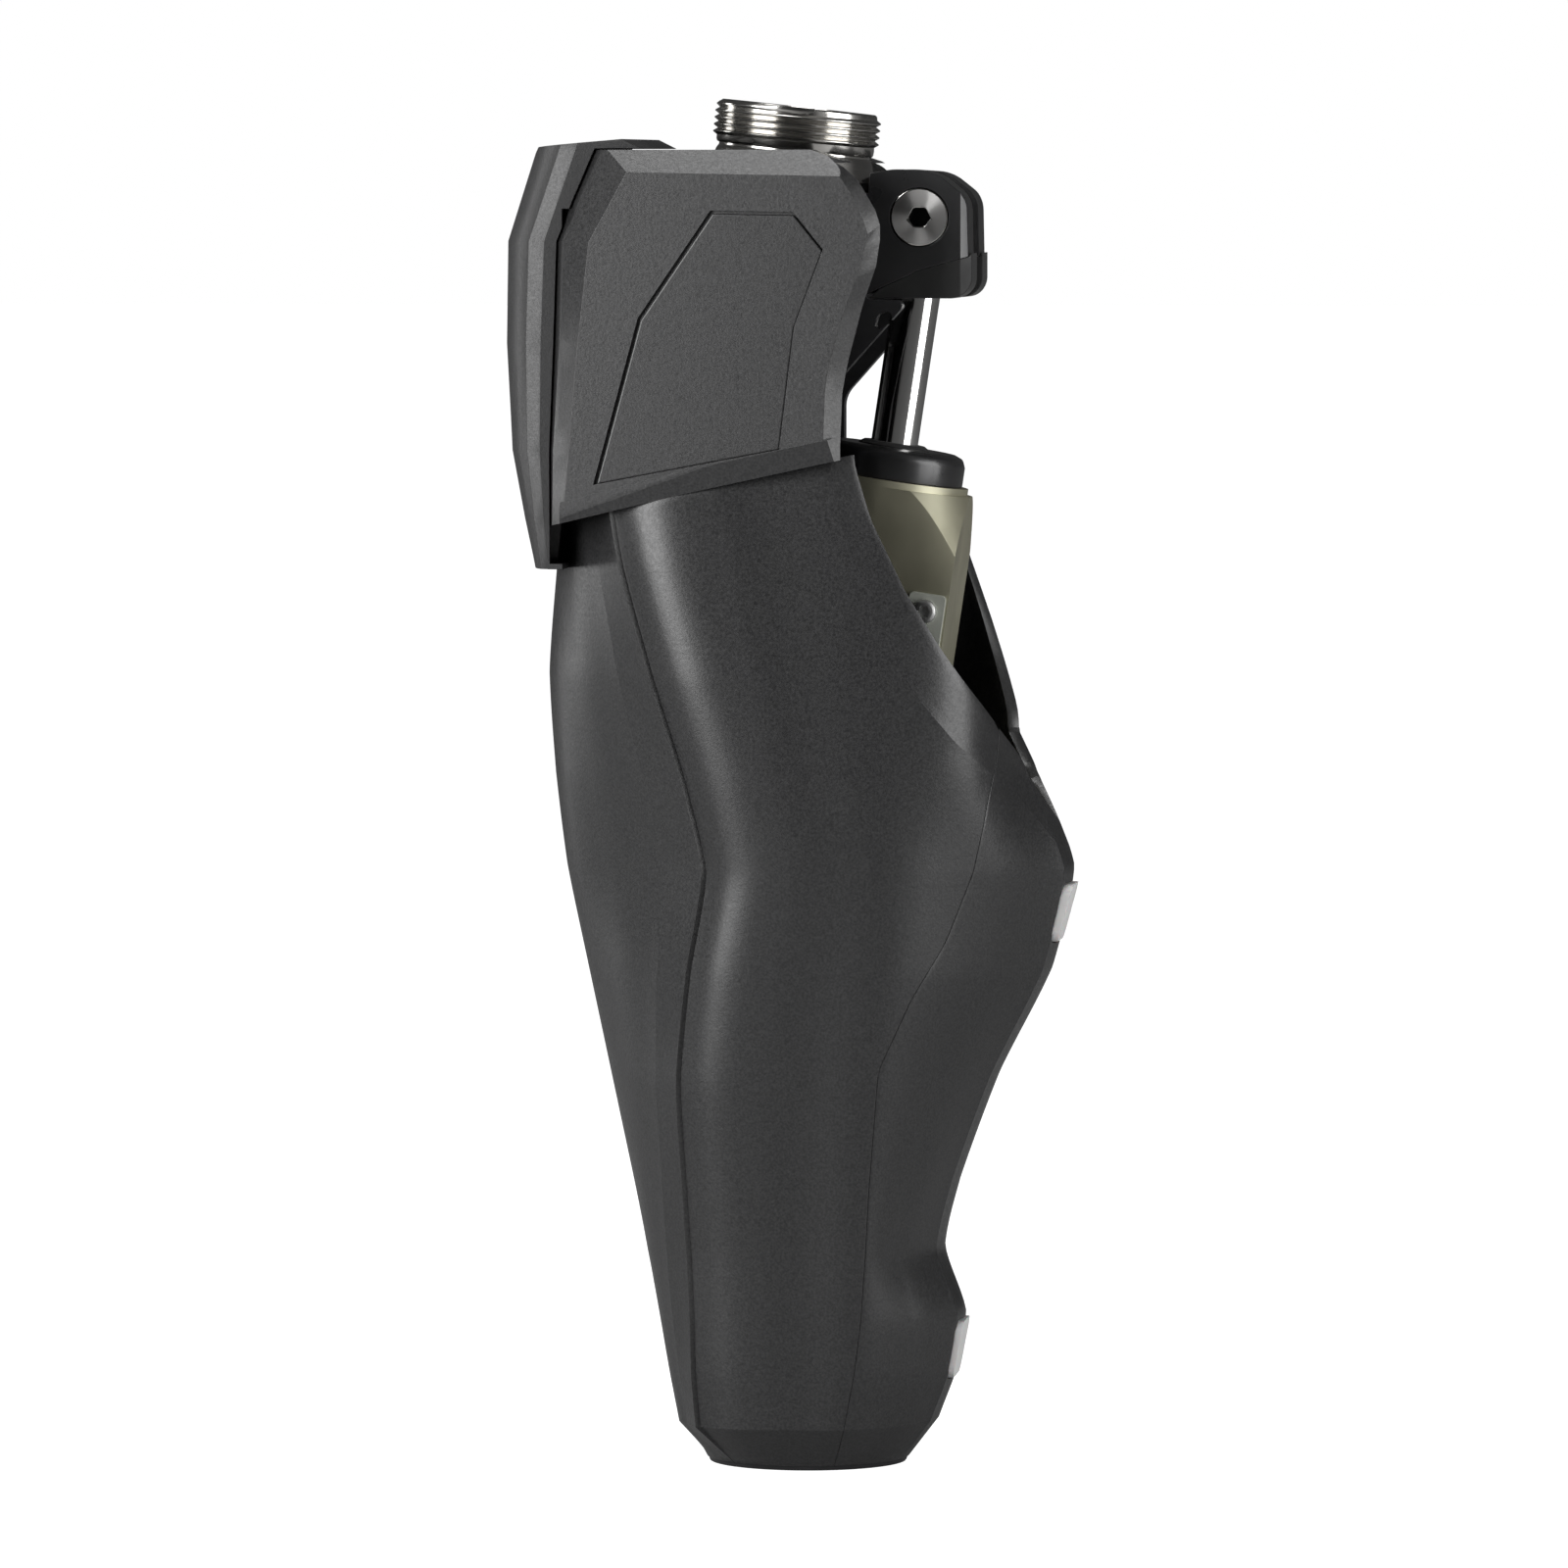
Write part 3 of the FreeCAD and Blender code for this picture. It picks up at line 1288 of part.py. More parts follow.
def build():
    corners = rearCorners()
    withoutTools(jointHead(), "joint_head", headCountersinks(), corners)
    withoutTools(swingBumper(), "swing_bumper", corners)
    threadedConnector()
    connectorBolt()
    kneeAxle()
    side = "headHalf + washerGap"
    crossPair("AxleBearing", "axle_bearings", "bearingRadius", side, f"{side} + railWall", "axleRadius + axleFit",
              axleX, axleZ)
    crossPair("AxleWasher", "axle_washers", "axleRadius + 5", "headHalf + 0.05", f"{side} - 0.05",
              "axleRadius + axleFit", axleX, axleZ)
    axleDiscs()
    rodPin()
    rodPinScrews()
    pistonRod()
    damperInside()
    damperBody()
    cylinderCap()
    pivotPins()
    valveBlock()
    sensorBracket()
    frame = shinFrame()
    extensionStop()
    clampScrew()
    posts("shell_posts", [(-4, shinHeight(178), shellInside(178)), (-4, shinHeight(96), shellInside(96))])
    posts("shield_posts", [(-24, axleZ - 36, shieldInside(-24)), (-4, axleZ - 34, shieldInside(-4))])
    electronics(frame)
    shell, cover, insert = calfShells()
    for label, face, lean, z in tabSpots:
        cover = cover.cut(tabWindow(face, z, size("tabGap")))
    solid("shin_shell", shell)
    solid("rear_cover", cover)
    solid("front_insert", insert)
    for label, face, lean, z in tabSpots:
        solid(label, releaseTab(face, lean, z))
    shield = kneeShieldShape()
    gap = size("inlayGap")
    depth = size("inlayDepth")
    shield = shield.cut(mirrorY(sidePlate(grown(lifted(inlayLine), gap), -depth, 4)))
    shield = shield.cut(sidePlate(grown(lifted(leftInlay), gap), -depth, 4))
    solid("knee_shield", shield)
    solid("right_inlay", mirrorY(sidePlate(lifted(inlayLine), -depth, -0.15)))
    solid("left_inlay", sidePlate(lifted(leftInlay), -depth, -0.15))
    solid("knee_pad", padShape())


build()
doc.recompute()

problems = []
for item in doc.Objects:
    if "Invalid" in item.State or "Error" in item.State:
        problems.append(f"{item.Label}: {item.State}")
for item in nodes:
    if item.Shape.isNull() or not item.Shape.isValid() or not item.Shape.Solids:
        problems.append(f"{item.Label}: no sound shape")
if problems:
    raise RuntimeError("; ".join(problems))

os.makedirs("parts", exist_ok=True)
for item in nodes:
    item.Shape.exportStep(f"parts/{item.Label}.step")
    print(item.Label, len(item.Shape.Solids), "solids", round(item.Shape.Volume), "mm3")
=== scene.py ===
import json
import math

import bpy
from mathutils import Matrix, Vector

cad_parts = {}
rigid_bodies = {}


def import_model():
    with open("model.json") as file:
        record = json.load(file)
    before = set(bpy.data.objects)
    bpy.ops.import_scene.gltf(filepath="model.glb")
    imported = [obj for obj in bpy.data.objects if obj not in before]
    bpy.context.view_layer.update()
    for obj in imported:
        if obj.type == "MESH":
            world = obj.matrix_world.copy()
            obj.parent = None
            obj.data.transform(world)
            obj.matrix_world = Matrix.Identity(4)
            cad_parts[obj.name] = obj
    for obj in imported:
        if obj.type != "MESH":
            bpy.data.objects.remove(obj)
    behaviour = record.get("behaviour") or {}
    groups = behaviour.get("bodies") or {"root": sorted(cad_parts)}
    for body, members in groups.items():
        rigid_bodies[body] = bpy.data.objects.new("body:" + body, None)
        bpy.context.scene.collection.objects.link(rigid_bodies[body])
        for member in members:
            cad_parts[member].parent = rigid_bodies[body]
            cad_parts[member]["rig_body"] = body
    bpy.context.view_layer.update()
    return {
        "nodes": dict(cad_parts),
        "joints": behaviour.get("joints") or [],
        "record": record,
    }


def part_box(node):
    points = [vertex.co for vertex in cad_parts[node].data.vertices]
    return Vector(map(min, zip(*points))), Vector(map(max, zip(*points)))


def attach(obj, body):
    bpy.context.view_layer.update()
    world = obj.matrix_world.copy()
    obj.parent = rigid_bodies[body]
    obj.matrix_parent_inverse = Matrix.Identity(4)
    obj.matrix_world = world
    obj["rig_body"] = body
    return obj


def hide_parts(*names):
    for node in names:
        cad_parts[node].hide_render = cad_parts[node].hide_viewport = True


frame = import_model()

# Prosthetic knee: black anodised head, hydraulic damper and moulded charcoal protectors.
# Sizes are in millimetres and become metres through mm; the studio and the camera are in metres.
mm = 0.001
parts = frame["nodes"]
bodyOf = {node: part["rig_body"] for node, part in parts.items()}
slotOf = {row["node"]: row["material_slot"] for row in frame["record"]["subparts"]}
joints = {joint["name"]: joint for joint in frame["joints"]}
kneeAxis = Vector(joints["knee_flexion"]["pos_m"])
damperPin = Vector(joints["rod_swing"]["pos_m"])
connectorAxis = Vector(frame["record"]["mounts"][0]["axis"])
materials = {}
meshCare = {
    "weld": 0.002,                     # points nearer than this are joined
    "flat": 0.1,                       # faces within this many degrees count as one
    "weight": 60,                      # how much the larger faces lead the shading
}


# Working habits

def deselectAll():
    if bpy.context.object and bpy.context.object.mode != "OBJECT":
        bpy.ops.object.mode_set(mode="OBJECT")
    bpy.ops.object.select_all(action="DESELECT")


def takeUp(piece):
    deselectAll()
    bpy.context.view_layer.objects.active = piece
    piece.select_set(True)


def editAll(piece):
    takeUp(piece)
    bpy.ops.object.mode_set(mode="EDIT")
    bpy.ops.mesh.select_all(action="SELECT")


def leaveEdit():
    bpy.ops.object.mode_set(mode="OBJECT")


def pickFaces(piece, wanted):
    # selects faces by place and normal, then enters edit mode
    takeUp(piece)
    for part in (piece.data.vertices, piece.data.edges, piece.data.polygons):
        part.foreach_set("select", [False] * len(part))
    for face in piece.data.polygons:
        face.select = wanted(face)
    bpy.ops.object.mode_set(mode="EDIT")
    bpy.ops.mesh.select_mode(type="FACE")


def applyModifier(piece, kind, **settings):
    takeUp(piece)
    bpy.ops.object.modifier_add(type=kind)
    modifier = piece.modifiers[-1]
    for name, value in settings.items():
        setattr(modifier, name, value)
    bpy.ops.object.modifier_apply(modifier=modifier.name)


def bevelEdges(piece, width, angle=28):
    applyModifier(piece, "BEVEL", width=width * mm, segments=2, limit_method="ANGLE",
                  angle_limit=math.radians(angle), miter_outer="MITER_ARC", use_clamp_overlap=True)


def smooth(piece, angle=32):
    takeUp(piece)
    bpy.ops.object.shade_smooth_by_angle(angle=math.radians(angle), keep_sharp_edges=True)


def settle(piece):
    # puts the piece's place into its mesh
    takeUp(piece)
    bpy.ops.object.transform_apply(location=True, rotation=True, scale=True)


def finish(piece, name, node, material=None):
    # names a piece, gives it its finish and lets it ride where its node rides
    piece.name = name
    piece.data.name = name
    piece.data.materials.clear()
    piece.data.materials.append(materials[material or slotOf[node]])
    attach(piece, bodyOf[node])
    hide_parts(node)
    return piece


def aimed(point, axis):
    # place and turn that carry a piece made about the upright axis onto another one
    turn = Vector((0, 0, 1)).rotation_difference(axis)
    return Matrix.Translation(point) @ turn.to_matrix().to_4x4()


def lathe(name, profile, steps):
    # outline of (radius, height) in millimetres, spun about the upright axis
    deselectAll()
    bpy.ops.mesh.primitive_plane_add(size=mm, location=(0, 0, 0))
    piece = bpy.context.object
    piece.name = name
    bpy.ops.object.mode_set(mode="EDIT")
    bpy.ops.mesh.select_mode(type="VERT")
    bpy.ops.mesh.select_all(action="SELECT")
    bpy.ops.mesh.merge(type="CENTER")
    radius, height = profile[0]
    bpy.ops.transform.translate(value=(radius * mm, 0, height * mm))
    for here, after in zip(profile, profile[1:]):
        step = ((after[0] - here[0]) * mm, 0, (after[1] - here[1]) * mm)
        bpy.ops.mesh.extrude_region_move(TRANSFORM_OT_translate={"value": step})
    bpy.ops.mesh.select_all(action="SELECT")
    bpy.ops.mesh.spin(steps=steps, angle=2 * math.pi, center=(0, 0, 0), axis=(0, 0, 1))
    bpy.ops.mesh.select_all(action="SELECT")
    bpy.ops.mesh.remove_doubles(threshold=meshCare["weld"] * mm)
    bpy.ops.mesh.normals_make_consistent(inside=False)
    leaveEdit()
    return piece


def cutAway(piece, tool):
    applyModifier(piece, "BOOLEAN", object=tool, operation="DIFFERENCE", solver="EXACT")
    bpy.data.objects.remove(tool)


def dressedCopy(node, name, bevel, angle=28, smoothing=32):
    # copy of a rigid node with its edges broken as on a machined or moulded piece
    piece = bpy.data.objects.new(name, parts[node].data.copy())
    bpy.context.scene.collection.objects.link(piece)
    takeUp(piece)
    bpy.ops.mesh.customdata_custom_splitnormals_clear()
    editAll(piece)
    bpy.ops.mesh.remove_doubles(threshold=meshCare["weld"] * mm)
    bpy.ops.mesh.dissolve_limited(angle_limit=math.radians(meshCare["flat"]), use_dissolve_boundaries=False)
    leaveEdit()
    if bevel:
        bevelEdges(piece, bevel, angle)
    smooth(piece, smoothing)
    applyModifier(piece, "WEIGHTED_NORMAL", keep_sharp=True, weight=meshCare["weight"])
    return finish(piece, name, node)


# Finishes: every pattern reads object coordinates, so it stays on its piece as it moves

noiseSpan = {
    "tone": (0.32, 0.68),              # noise that gives the dark and the light tone
    "roughness": (0.3, 0.7),           # noise that gives the lowest and the highest roughness
}


def startMaterial(name, colour, roughness, metallic=0.0, **constants):
    material = bpy.data.materials.new(name)
    material.use_nodes = True
    shader = material.node_tree.nodes["Principled BSDF"]
    shader.inputs["Base Color"].default_value = (*colour, 1)
    shader.inputs["Roughness"].default_value = roughness
    shader.inputs["Metallic"].default_value = metallic
    for socket, value in constants.items():
        shader.inputs[socket.replace("_", " ")].default_value = value
    materials[name] = material
    return material.node_tree, shader


def noiseField(tree, scale, detail=3.0, stretch=(1, 1, 1)):
    place = tree.nodes.new("ShaderNodeTexCoord")
    mapping = tree.nodes.new("ShaderNodeMapping")
    mapping.inputs["Scale"].default_value = stretch
    noise = tree.nodes.new("ShaderNodeTexNoise")
    noise.inputs["Scale"].default_value = scale
    noise.inputs["Detail"].default_value = detail
    tree.links.new(place.outputs["Object"], mapping.inputs["Vector"])
    tree.links.new(mapping.outputs["Vector"], noise.inputs["Vector"])
    return noise.outputs["Fac"]


def mottle(tree, shader, dark, light, field):
    # colour between two tones
    ramp = tree.nodes.new("ShaderNodeValToRGB")
    for element, position, tone in zip(ramp.color_ramp.elements, noiseSpan["tone"], (dark, light)):
        element.position = position
        element.color = (*tone, 1)
    tree.links.new(field, ramp.inputs["Fac"])
    tree.links.new(ramp.outputs["Color"], shader.inputs["Base Color"])


def varyRoughness(tree, shader, low, high, field):
    scaled = tree.nodes.new("ShaderNodeMapRange")
    scaled.inputs["From Min"].default_value = noiseSpan["roughness"][0]
    scaled.inputs["From Max"].default_value = noiseSpan["roughness"][1]
    scaled.inputs["To Min"].default_value = low
    scaled.inputs["To Max"].default_value = high
    tree.links.new(field, scaled.inputs["Value"])
    tree.links.new(scaled.outputs["Result"], shader.inputs["Roughness"])


def relief(tree, shader, height, field):
    # raised grain; a second call lies on top of the first
    bump = tree.nodes.new("ShaderNodeBump")
    bump.inputs["Strength"].default_value = 1
    bump.inputs["Distance"].default_value = height * mm
    tree.links.new(field, bump.inputs["Height"])
    if shader.inputs["Normal"].is_linked:
        tree.links.new(shader.inputs["Normal"].links[0].from_socket, bump.inputs["Normal"])
    tree.links.new(bump.outputs["Normal"], shader.inputs["Normal"])


def mouldedPlastic(name, dark, light, rough, grain, height):
    # matt moulded polymer with a spark-eroded grain
    tree, shader = startMaterial(name, light, rough, Specular_IOR_Level=0.55)
    mottle(tree, shader, dark, light, noiseField(tree, grain, 3))
    varyRoughness(tree, shader, rough - 0.05, rough + 0.06, noiseField(tree, grain * 0.7, 3))
    relief(tree, shader, height, noiseField(tree, grain, 2))
    relief(tree, shader, height * 0.7, noiseField(tree, grain * 0.42, 1))


def rubber(name, tone, rough):
    tree, shader = startMaterial(name, (tone, tone, tone * 1.02), rough,
                                 Specular_IOR_Level=0.35, Sheen_Weight=0.08)
    mottle(tree, shader, (tone * 0.85,) * 3, (tone * 1.2,) * 3, noiseField(tree, 60, 3))
    varyRoughness(tree, shader, rough - 0.05, rough + 0.08, noiseField(tree, 120, 3))
    relief(tree, shader, 0.02, noiseField(tree, 1500, 2))


def anodised(name, dark, light, rough, stretch=(1, 1, 1), metallic=0.35, coat=0.0):
    # anodised aluminium with the faint lay of its machining
    tree, shader = startMaterial(name, light, rough, metallic, Coat_Weight=coat, Coat_Roughness=0.18)
    mottle(tree, shader, dark, light, noiseField(tree, 45, 4))
    varyRoughness(tree, shader, rough - 0.05, rough + 0.07, noiseField(tree, 160, 4, stretch))
    relief(tree, shader, 0.006, noiseField(tree, 700, 3, stretch))


def bareMetal(name, tone, rough, stretch=(1, 1, 1), height=0.004, anisotropic=0.0):
    dark = tuple(0.8 * value for value in tone)
    tree, shader = startMaterial(name, tone, rough, 1.0, Anisotropic=anisotropic)
    mottle(tree, shader, dark, tone, noiseField(tree, 70, 4, stretch))
    varyRoughness(tree, shader, rough * 0.8, rough * 1.25, noiseField(tree, 240, 4, stretch))
    relief(tree, shader, height, noiseField(tree, 900, 3, stretch))
    return tree, shader


def makeMaterials():
    charcoal = ((0.012, 0.012, 0.0125), (0.030, 0.030, 0.0305))
    mouldedPlastic("charcoal_shell", *charcoal, 0.34, 2000, 0.022)
    mouldedPlastic("charcoal_inlay", (0.011, 0.011, 0.0115), (0.024, 0.024, 0.0245), 0.33, 2300, 0.018)
    mouldedPlastic("charcoal_insert", (0.019, 0.019, 0.0195), (0.025, 0.025, 0.0255), 0.34, 2600, 0.014)
    mouldedPlastic("soft_pad", (0.016, 0.016, 0.0165), (0.022, 0.022, 0.0225), 0.44, 2600, 0.024)
    mouldedPlastic("black_polymer", (0.013, 0.013, 0.0135), (0.019, 0.019, 0.0195), 0.42, 2300, 0.020)
    rubber("black_rubber", 0.014, 0.55)
    anodised("black_anodised", (0.020, 0.020, 0.021), (0.034, 0.034, 0.035), 0.31, coat=0.3)
    anodised("frame_black", (0.016, 0.016, 0.017), (0.028, 0.028, 0.030), 0.36, (1, 1, 4))
    anodised("khaki_anodised", (0.40, 0.385, 0.285), (0.52, 0.505, 0.38), 0.40, (1, 1, 0.15), metallic=0.8)
    bareMetal("raw_aluminium", (0.66, 0.67, 0.68), 0.33, (1, 1, 6))
    bareMetal("polished_steel", (0.70, 0.685, 0.655), 0.15, (1, 1, 9), 0.0006)
    bareMetal("chromed_rod", (0.78, 0.775, 0.76), 0.10, (1, 1, 0.2), 0.0004)
    bareMetal("small_screw_steel", (0.66, 0.66, 0.65), 0.36, height=0.001)
    bareMetal("bearing_steel", (0.58, 0.58, 0.59), 0.22)
    bareMetal("dark_steel", (0.10, 0.10, 0.105), 0.32)
    # near-black painted shade for the faces inside the pin screws' hexagon sockets
    bareMetal("socket_shade", (0.012, 0.012, 0.012), 0.45)
    bareMetal("bronze", (0.52, 0.34, 0.17), 0.36)
    bareMetal("brass", (0.70, 0.54, 0.24), 0.26)
    bareMetal("motor_can", (0.50, 0.505, 0.51), 0.28, (6, 6, 1))
    # the pin's screws are turned, so their brushing runs round the pin
    tree, shader = bareMetal("brushed_screw", (0.62, 0.61, 0.60), 0.40, height=0.001, anisotropic=0.9)
    place = tree.nodes.new("ShaderNodeTexCoord")
    fromPin = tree.nodes.new("ShaderNodeVectorMath")
    fromPin.operation = "SUBTRACT"
    fromPin.inputs[1].default_value = damperPin
    around = tree.nodes.new("ShaderNodeVectorMath")
    around.operation = "CROSS_PRODUCT"
    around.inputs[1].default_value = (0, 1, 0)
    tree.links.new(place.outputs["Object"], fromPin.inputs[0])
    tree.links.new(fromPin.outputs["Vector"], around.inputs[0])
    tree.links.new(around.outputs["Vector"], shader.inputs["Tangent"])
    tree, shader = startMaterial("bracket_grey", (0.50, 0.52, 0.46), 0.42, 0.25)
    mottle(tree, shader, (0.42, 0.44, 0.385), (0.53, 0.55, 0.49), noiseField(tree, 120, 4))
    relief(tree, shader, 0.008, noiseField(tree, 1400, 3))
    for name, tone, rough in (("white_polymer", 0.74, 0.40), ("white_tab", 0.72, 0.42)):
        tree, shader = startMaterial(name, (tone,) * 3, rough, Subsurface_Weight=0.08, Subsurface_Scale=0.002)
        mottle(tree, shader, (tone * 0.95,) * 3, (tone, tone, tone * 0.985), noiseField(tree, 80, 3))
        varyRoughness(tree, shader, rough - 0.06, rough + 0.06, noiseField(tree, 150, 3))
        relief(tree, shader, 0.010, noiseField(tree, 1800, 2))
    tree, shader = startMaterial("battery_wrap", (0.05, 0.11, 0.26), 0.28, Coat_Weight=0.4)
    mottle(tree, shader, (0.040, 0.095, 0.23), (0.055, 0.12, 0.28), noiseField(tree, 60, 3))
    relief(tree, shader, 0.05, noiseField(tree, 90, 2))
    tree, shader = startMaterial("board_green", (0.03, 0.18, 0.08), 0.30, Coat_Weight=0.5)
    mottle(tree, shader, (0.022, 0.14, 0.06), (0.034, 0.20, 0.09), noiseField(tree, 420, 5, (1, 3, 1)))
    relief(tree, shader, 0.03, noiseField(tree, 600, 4, (1, 4, 1)))
    for node, part in parts.items():
        part.data.materials.clear()
        part.data.materials.append(materials[slotOf[node]])
    print("finishes ready:", len(materials))


# Calf: half outlines from front to back at a number of heights

calf = {
    # height, front x, ridge x and share, step x and share, crown x, rear x, bulge x and share,
    # spine edge x and half width, back x, half width
    "rows": [
        (9.6, -26.6, -24.0, 0.68, -21.6, 0.87, -7, 10.8, 21.5, 0.64, 27.6, 8, 28.6, 29.2),
        (21, -29.2, -25.6, 0.70, -22.4, 0.88, -7, 13, 24.6, 0.62, 31.8, 8, 32.8, 30.6),
        (33, -31.6, -26.9, 0.72, -22.5, 0.89, -7, 14.6, 25.6, 0.62, 33.4, 8, 34.5, 31.8),
        (47, -34.8, -28.0, 0.73, -23.0, 0.89, -7, 15.8, 22.5, 0.66, 28.8, 8, 29.9, 33.2),
        (62, -37.9, -28.8, 0.74, -23.8, 0.89, -7, 16.6, 25.5, 0.64, 32.2, 8, 33.3, 35.2),
        (85, -42.8, -29.8, 0.75, -24.8, 0.89, -6, 18.5, 32, 0.60, 40.6, 8, 41.8, 38.4),
        (108, -47.7, -29.3, 0.75, -22.4, 0.89, -3, 20, 40, 0.58, 51.9, 8, 53.3, 41),
        (130, -52.3, -27.6, 0.74, -18.7, 0.89, 0, 20, 41, 0.66, 56.6, 8.5, 58.0, 43),
        (150, -54.8, -32.1, 0.74, -23.1, 0.89, -4, 19, 38, 0.78, 49, 13, 51, 44),
        (172, -56.2, -37.4, 0.74, -30.0, 0.89, -8, 18, 36, 0.86, 47, 24, 50, 44),
        (196, -54.4, -41.8, 0.74, -36.7, 0.89, -13, 17, 33, 0.90, 46, 27, 49, 42.4),
        (218, -52.0, -43.5, 0.76, -40.5, 0.90, -18, 16, 30, 0.90, 44, 26, 47, 40.2),
    ],
    "corners": (3, 4, 5, 11),          # ridge, step, foot of the step, spine edge
    "step": 1.3,
    "wall": 2.6,
    "seam": 0.1,                       # the two shells meet edge to edge
    "rimDrop": 1.5,                    # how far the band along the opening slopes in
    "bandLeast": 0.8,                  # the slope is never steeper than over this width
    "bandReach": 1.3,                  # and goes on past the band by this share at most
    "bandFade": 3,                     # a narrower band slopes in less
    "topRise": 0.6,                    # up behind the shield's lip
    "topGuess": 210,
    "coverTop": 161.5,
    "bottom": 9.6,
    "lipHeight": 1.0,                  # the lower edge is drawn in to a ring round the pylon clamp
    "lipRadius": 22.0,
    "lipRows": 4,
    "flatHalf": 7,                     # half width of the flat front
    "insertHalf": 6.5,
    "insertDepth": 1.2,
    "insertGap": 0.3,
    "insertFoot": 12,                  # above the bottom
    "insertTop": 192.8,
    "insertBelow": 0.05,               # it lies a touch below the calf's face
    "insertEdge": 0.35,
    "edge": 0.22,
    "edgeAngle": 24,
    "smoothing": 26,
    "frontSteps": [4, 4, 6, 5, 1, 6],  # mesh columns between the outline's points
    "sideSteps": 30,
    "bandSteps": 5,
    "shellRows": 96,
}
# Edges in the side view, each as (height, x) from bottom to top
rightOpening = [(131, 70), (134.5, 57.8), (144.5, 53), (156.5, 46.5), (166, 41), (178, 32.9), (190.5, 25.2),
                (206, 17.6), (217, 14.2), (226, 13.4)]
leftOpening = [(131, 70), (134.5, 57.8), (144.5, 53), (152.5, 47.5), (157.5, 44), (163.2, 43.1), (182, 36.6),
               (201, 29.7), (211, 23), (220, 16), (226, 13.4)]
bandStart = [(130, 62), (136, 54.6), (147, 47.4), (158, 36), (168.5, 27.6), (184, 19.4), (202, 12.2),
             (214, 9.6), (226, 7.8)]
partingLine = [(0, 10.8), (9.6, 10.8), (22, 13.2), (33, 14.7), (47, 15.8), (62, 16.8), (88, 19.2), (103, 26),
               (115, 33), (130, 38.8), (140, 41), (154, 43.5), (170, 44.5)]
lipLine = [(-80, 198), (-49.3, 204.8), (-22.6, 211.2), (9.3, 218.2), (60, 228)]


def lineAt(points, here):
    # straight run between listed places
    if here <= points[0][0]:
        return points[0][1]
    for (a, low), (b, high) in zip(points, points[1:]):
        if here <= b:
            return low + (high - low) * (here - a) / (b - a)
    return points[-1][1]


def curveShares(t, reach):
    # shares of the start, the slope there, the end and the slope there on a smooth curve
    return (2 * t ** 3 - 3 * t ** 2 + 1, (t ** 3 - 2 * t ** 2 + t) * reach,
            3 * t ** 2 - 2 * t ** 3, (t ** 3 - t ** 2) * reach)


def stationAt(height):
    # station at any height, half on a smooth curve through the listed ones and half straight between them
    rows = calf["rows"]
    height = min(max(height, rows[0][0]), rows[-1][0])
    i = max(k for k in range(len(rows) - 1) if rows[k][0] <= height)
    low, high = rows[i], rows[i + 1]
    before, after = rows[max(i - 1, 0)], rows[min(i + 2, len(rows) - 1)]
    span = high[0] - low[0]
    t = (height - low[0]) / span
    shares = curveShares(t, span)
    station = []
    for a, b, c, d in zip(before, low, high, after):
        slopeLow = (c - a) / (high[0] - before[0])
        slopeHigh = (d - b) / (after[0] - low[0])
        curved = shares[0] * b + shares[1] * slopeLow + shares[2] * c + shares[3] * slopeHigh
        straight = b + (c - b) * t
        station.append((curved + straight) / 2)
    return station


sections = {}


def sectionAt(height):
    # half outline at a height, with the slope of its curve at every point
    key = round(height, 2)
    if key in sections:
        return sections[key]
    (_, front, ridgeX, ridgeY, stepX, stepY, crownX,
     rearX, bulgeX, bulgeY, spineX, spineY, back, half) = stationAt(key)
    points = [Vector(p) for p in (
        (front, 0),
        (front + 0.5, calf["flatHalf"]),                          # edge of the flat front
        ((ridgeX + front) / 2 - 1.2, half * ridgeY / 2 + 4.6),    # fullest place on the front facet
        (ridgeX, half * ridgeY),
        (stepX, half * stepY),
        (stepX + 1.0, half * stepY - calf["step"] + 0.6),         # foot of the step
        (stepX + 7, half * 0.965),                                # the side rises from the step
        (crownX, half),
        (crownX + 9, half - 0.7),                                 # the side falls away from its crown
        (rearX, half * 0.955),
        (bulgeX, half * bulgeY),
        (spineX, spineY),
        (back, 0),
    )]
    chords = [(b - a) for a, b in zip(points, points[1:])]
    slopes = []
    for i in range(len(points)):
        if i == 0:
            slopes.append((Vector((0, 1)),) * 2)
        elif i == len(points) - 1:
            slopes.append((Vector((0, -1)),) * 2)
        elif i in calf["corners"]:
            slopes.append((chords[i - 1].normalized(), chords[i].normalized()))
        else:
            p, q = chords[i - 1].length, chords[i].length
            slope = (chords[i - 1] * (q / p) + chords[i] * (p / q)) / (p + q)
            slopes.append((slope, slope))
    sections[key] = (points, chords, slopes)
    return sections[key]


def outlinePoint(height, share):
    # place on the half outline; share counts its points from front to back
    points, chords, slopes = sectionAt(height)
    i = min(int(share), len(chords) - 1)
    shares = curveShares(share - i, chords[i].length)
    return (shares[0] * points[i] + shares[1] * slopes[i][1]
            + shares[2] * points[i + 1] + shares[3] * slopes[i + 1][0])


def shareAt(height, x):
    # share of the side's outline that lies at x
    low, high = 5.0, 12.0              # from the foot of the step to the back
    halvings = 22
    for _ in range(halvings):
        middle = (low + high) / 2
        if outlinePoint(height, middle).x < x:
            low = middle
        else:
            high = middle
    return low


def openingAt(height, side):
    # edge of the rear opening; side is -1 on the right and 1 on the left
    return lineAt(rightOpening if side < 0 else leftOpening, height)


def bandAt(height, side):
    # front edge of the band along the opening, which is as wide on the left as on the right
    shift = openingAt(height, side) - lineAt(rightOpening, height)
    return lineAt(bandStart, height) + shift


def onCalf(height, share, side):
    # place on the outer face, with the band along the rear opening sloped in
    flat = outlinePoint(height, share)
    y = flat.y
    opening = openingAt(height, side)
    start = bandAt(height, side)
    if share > calf["corners"][2] and flat.x > start:
        slide = min((flat.x - start) / max(opening - start, calf["bandLeast"]), calf["bandReach"])
        y -= calf["rimDrop"] * slide * min(1, (opening - start) / calf["bandFade"])
    return Vector((flat.x, side * max(y, 0), height)) * mm


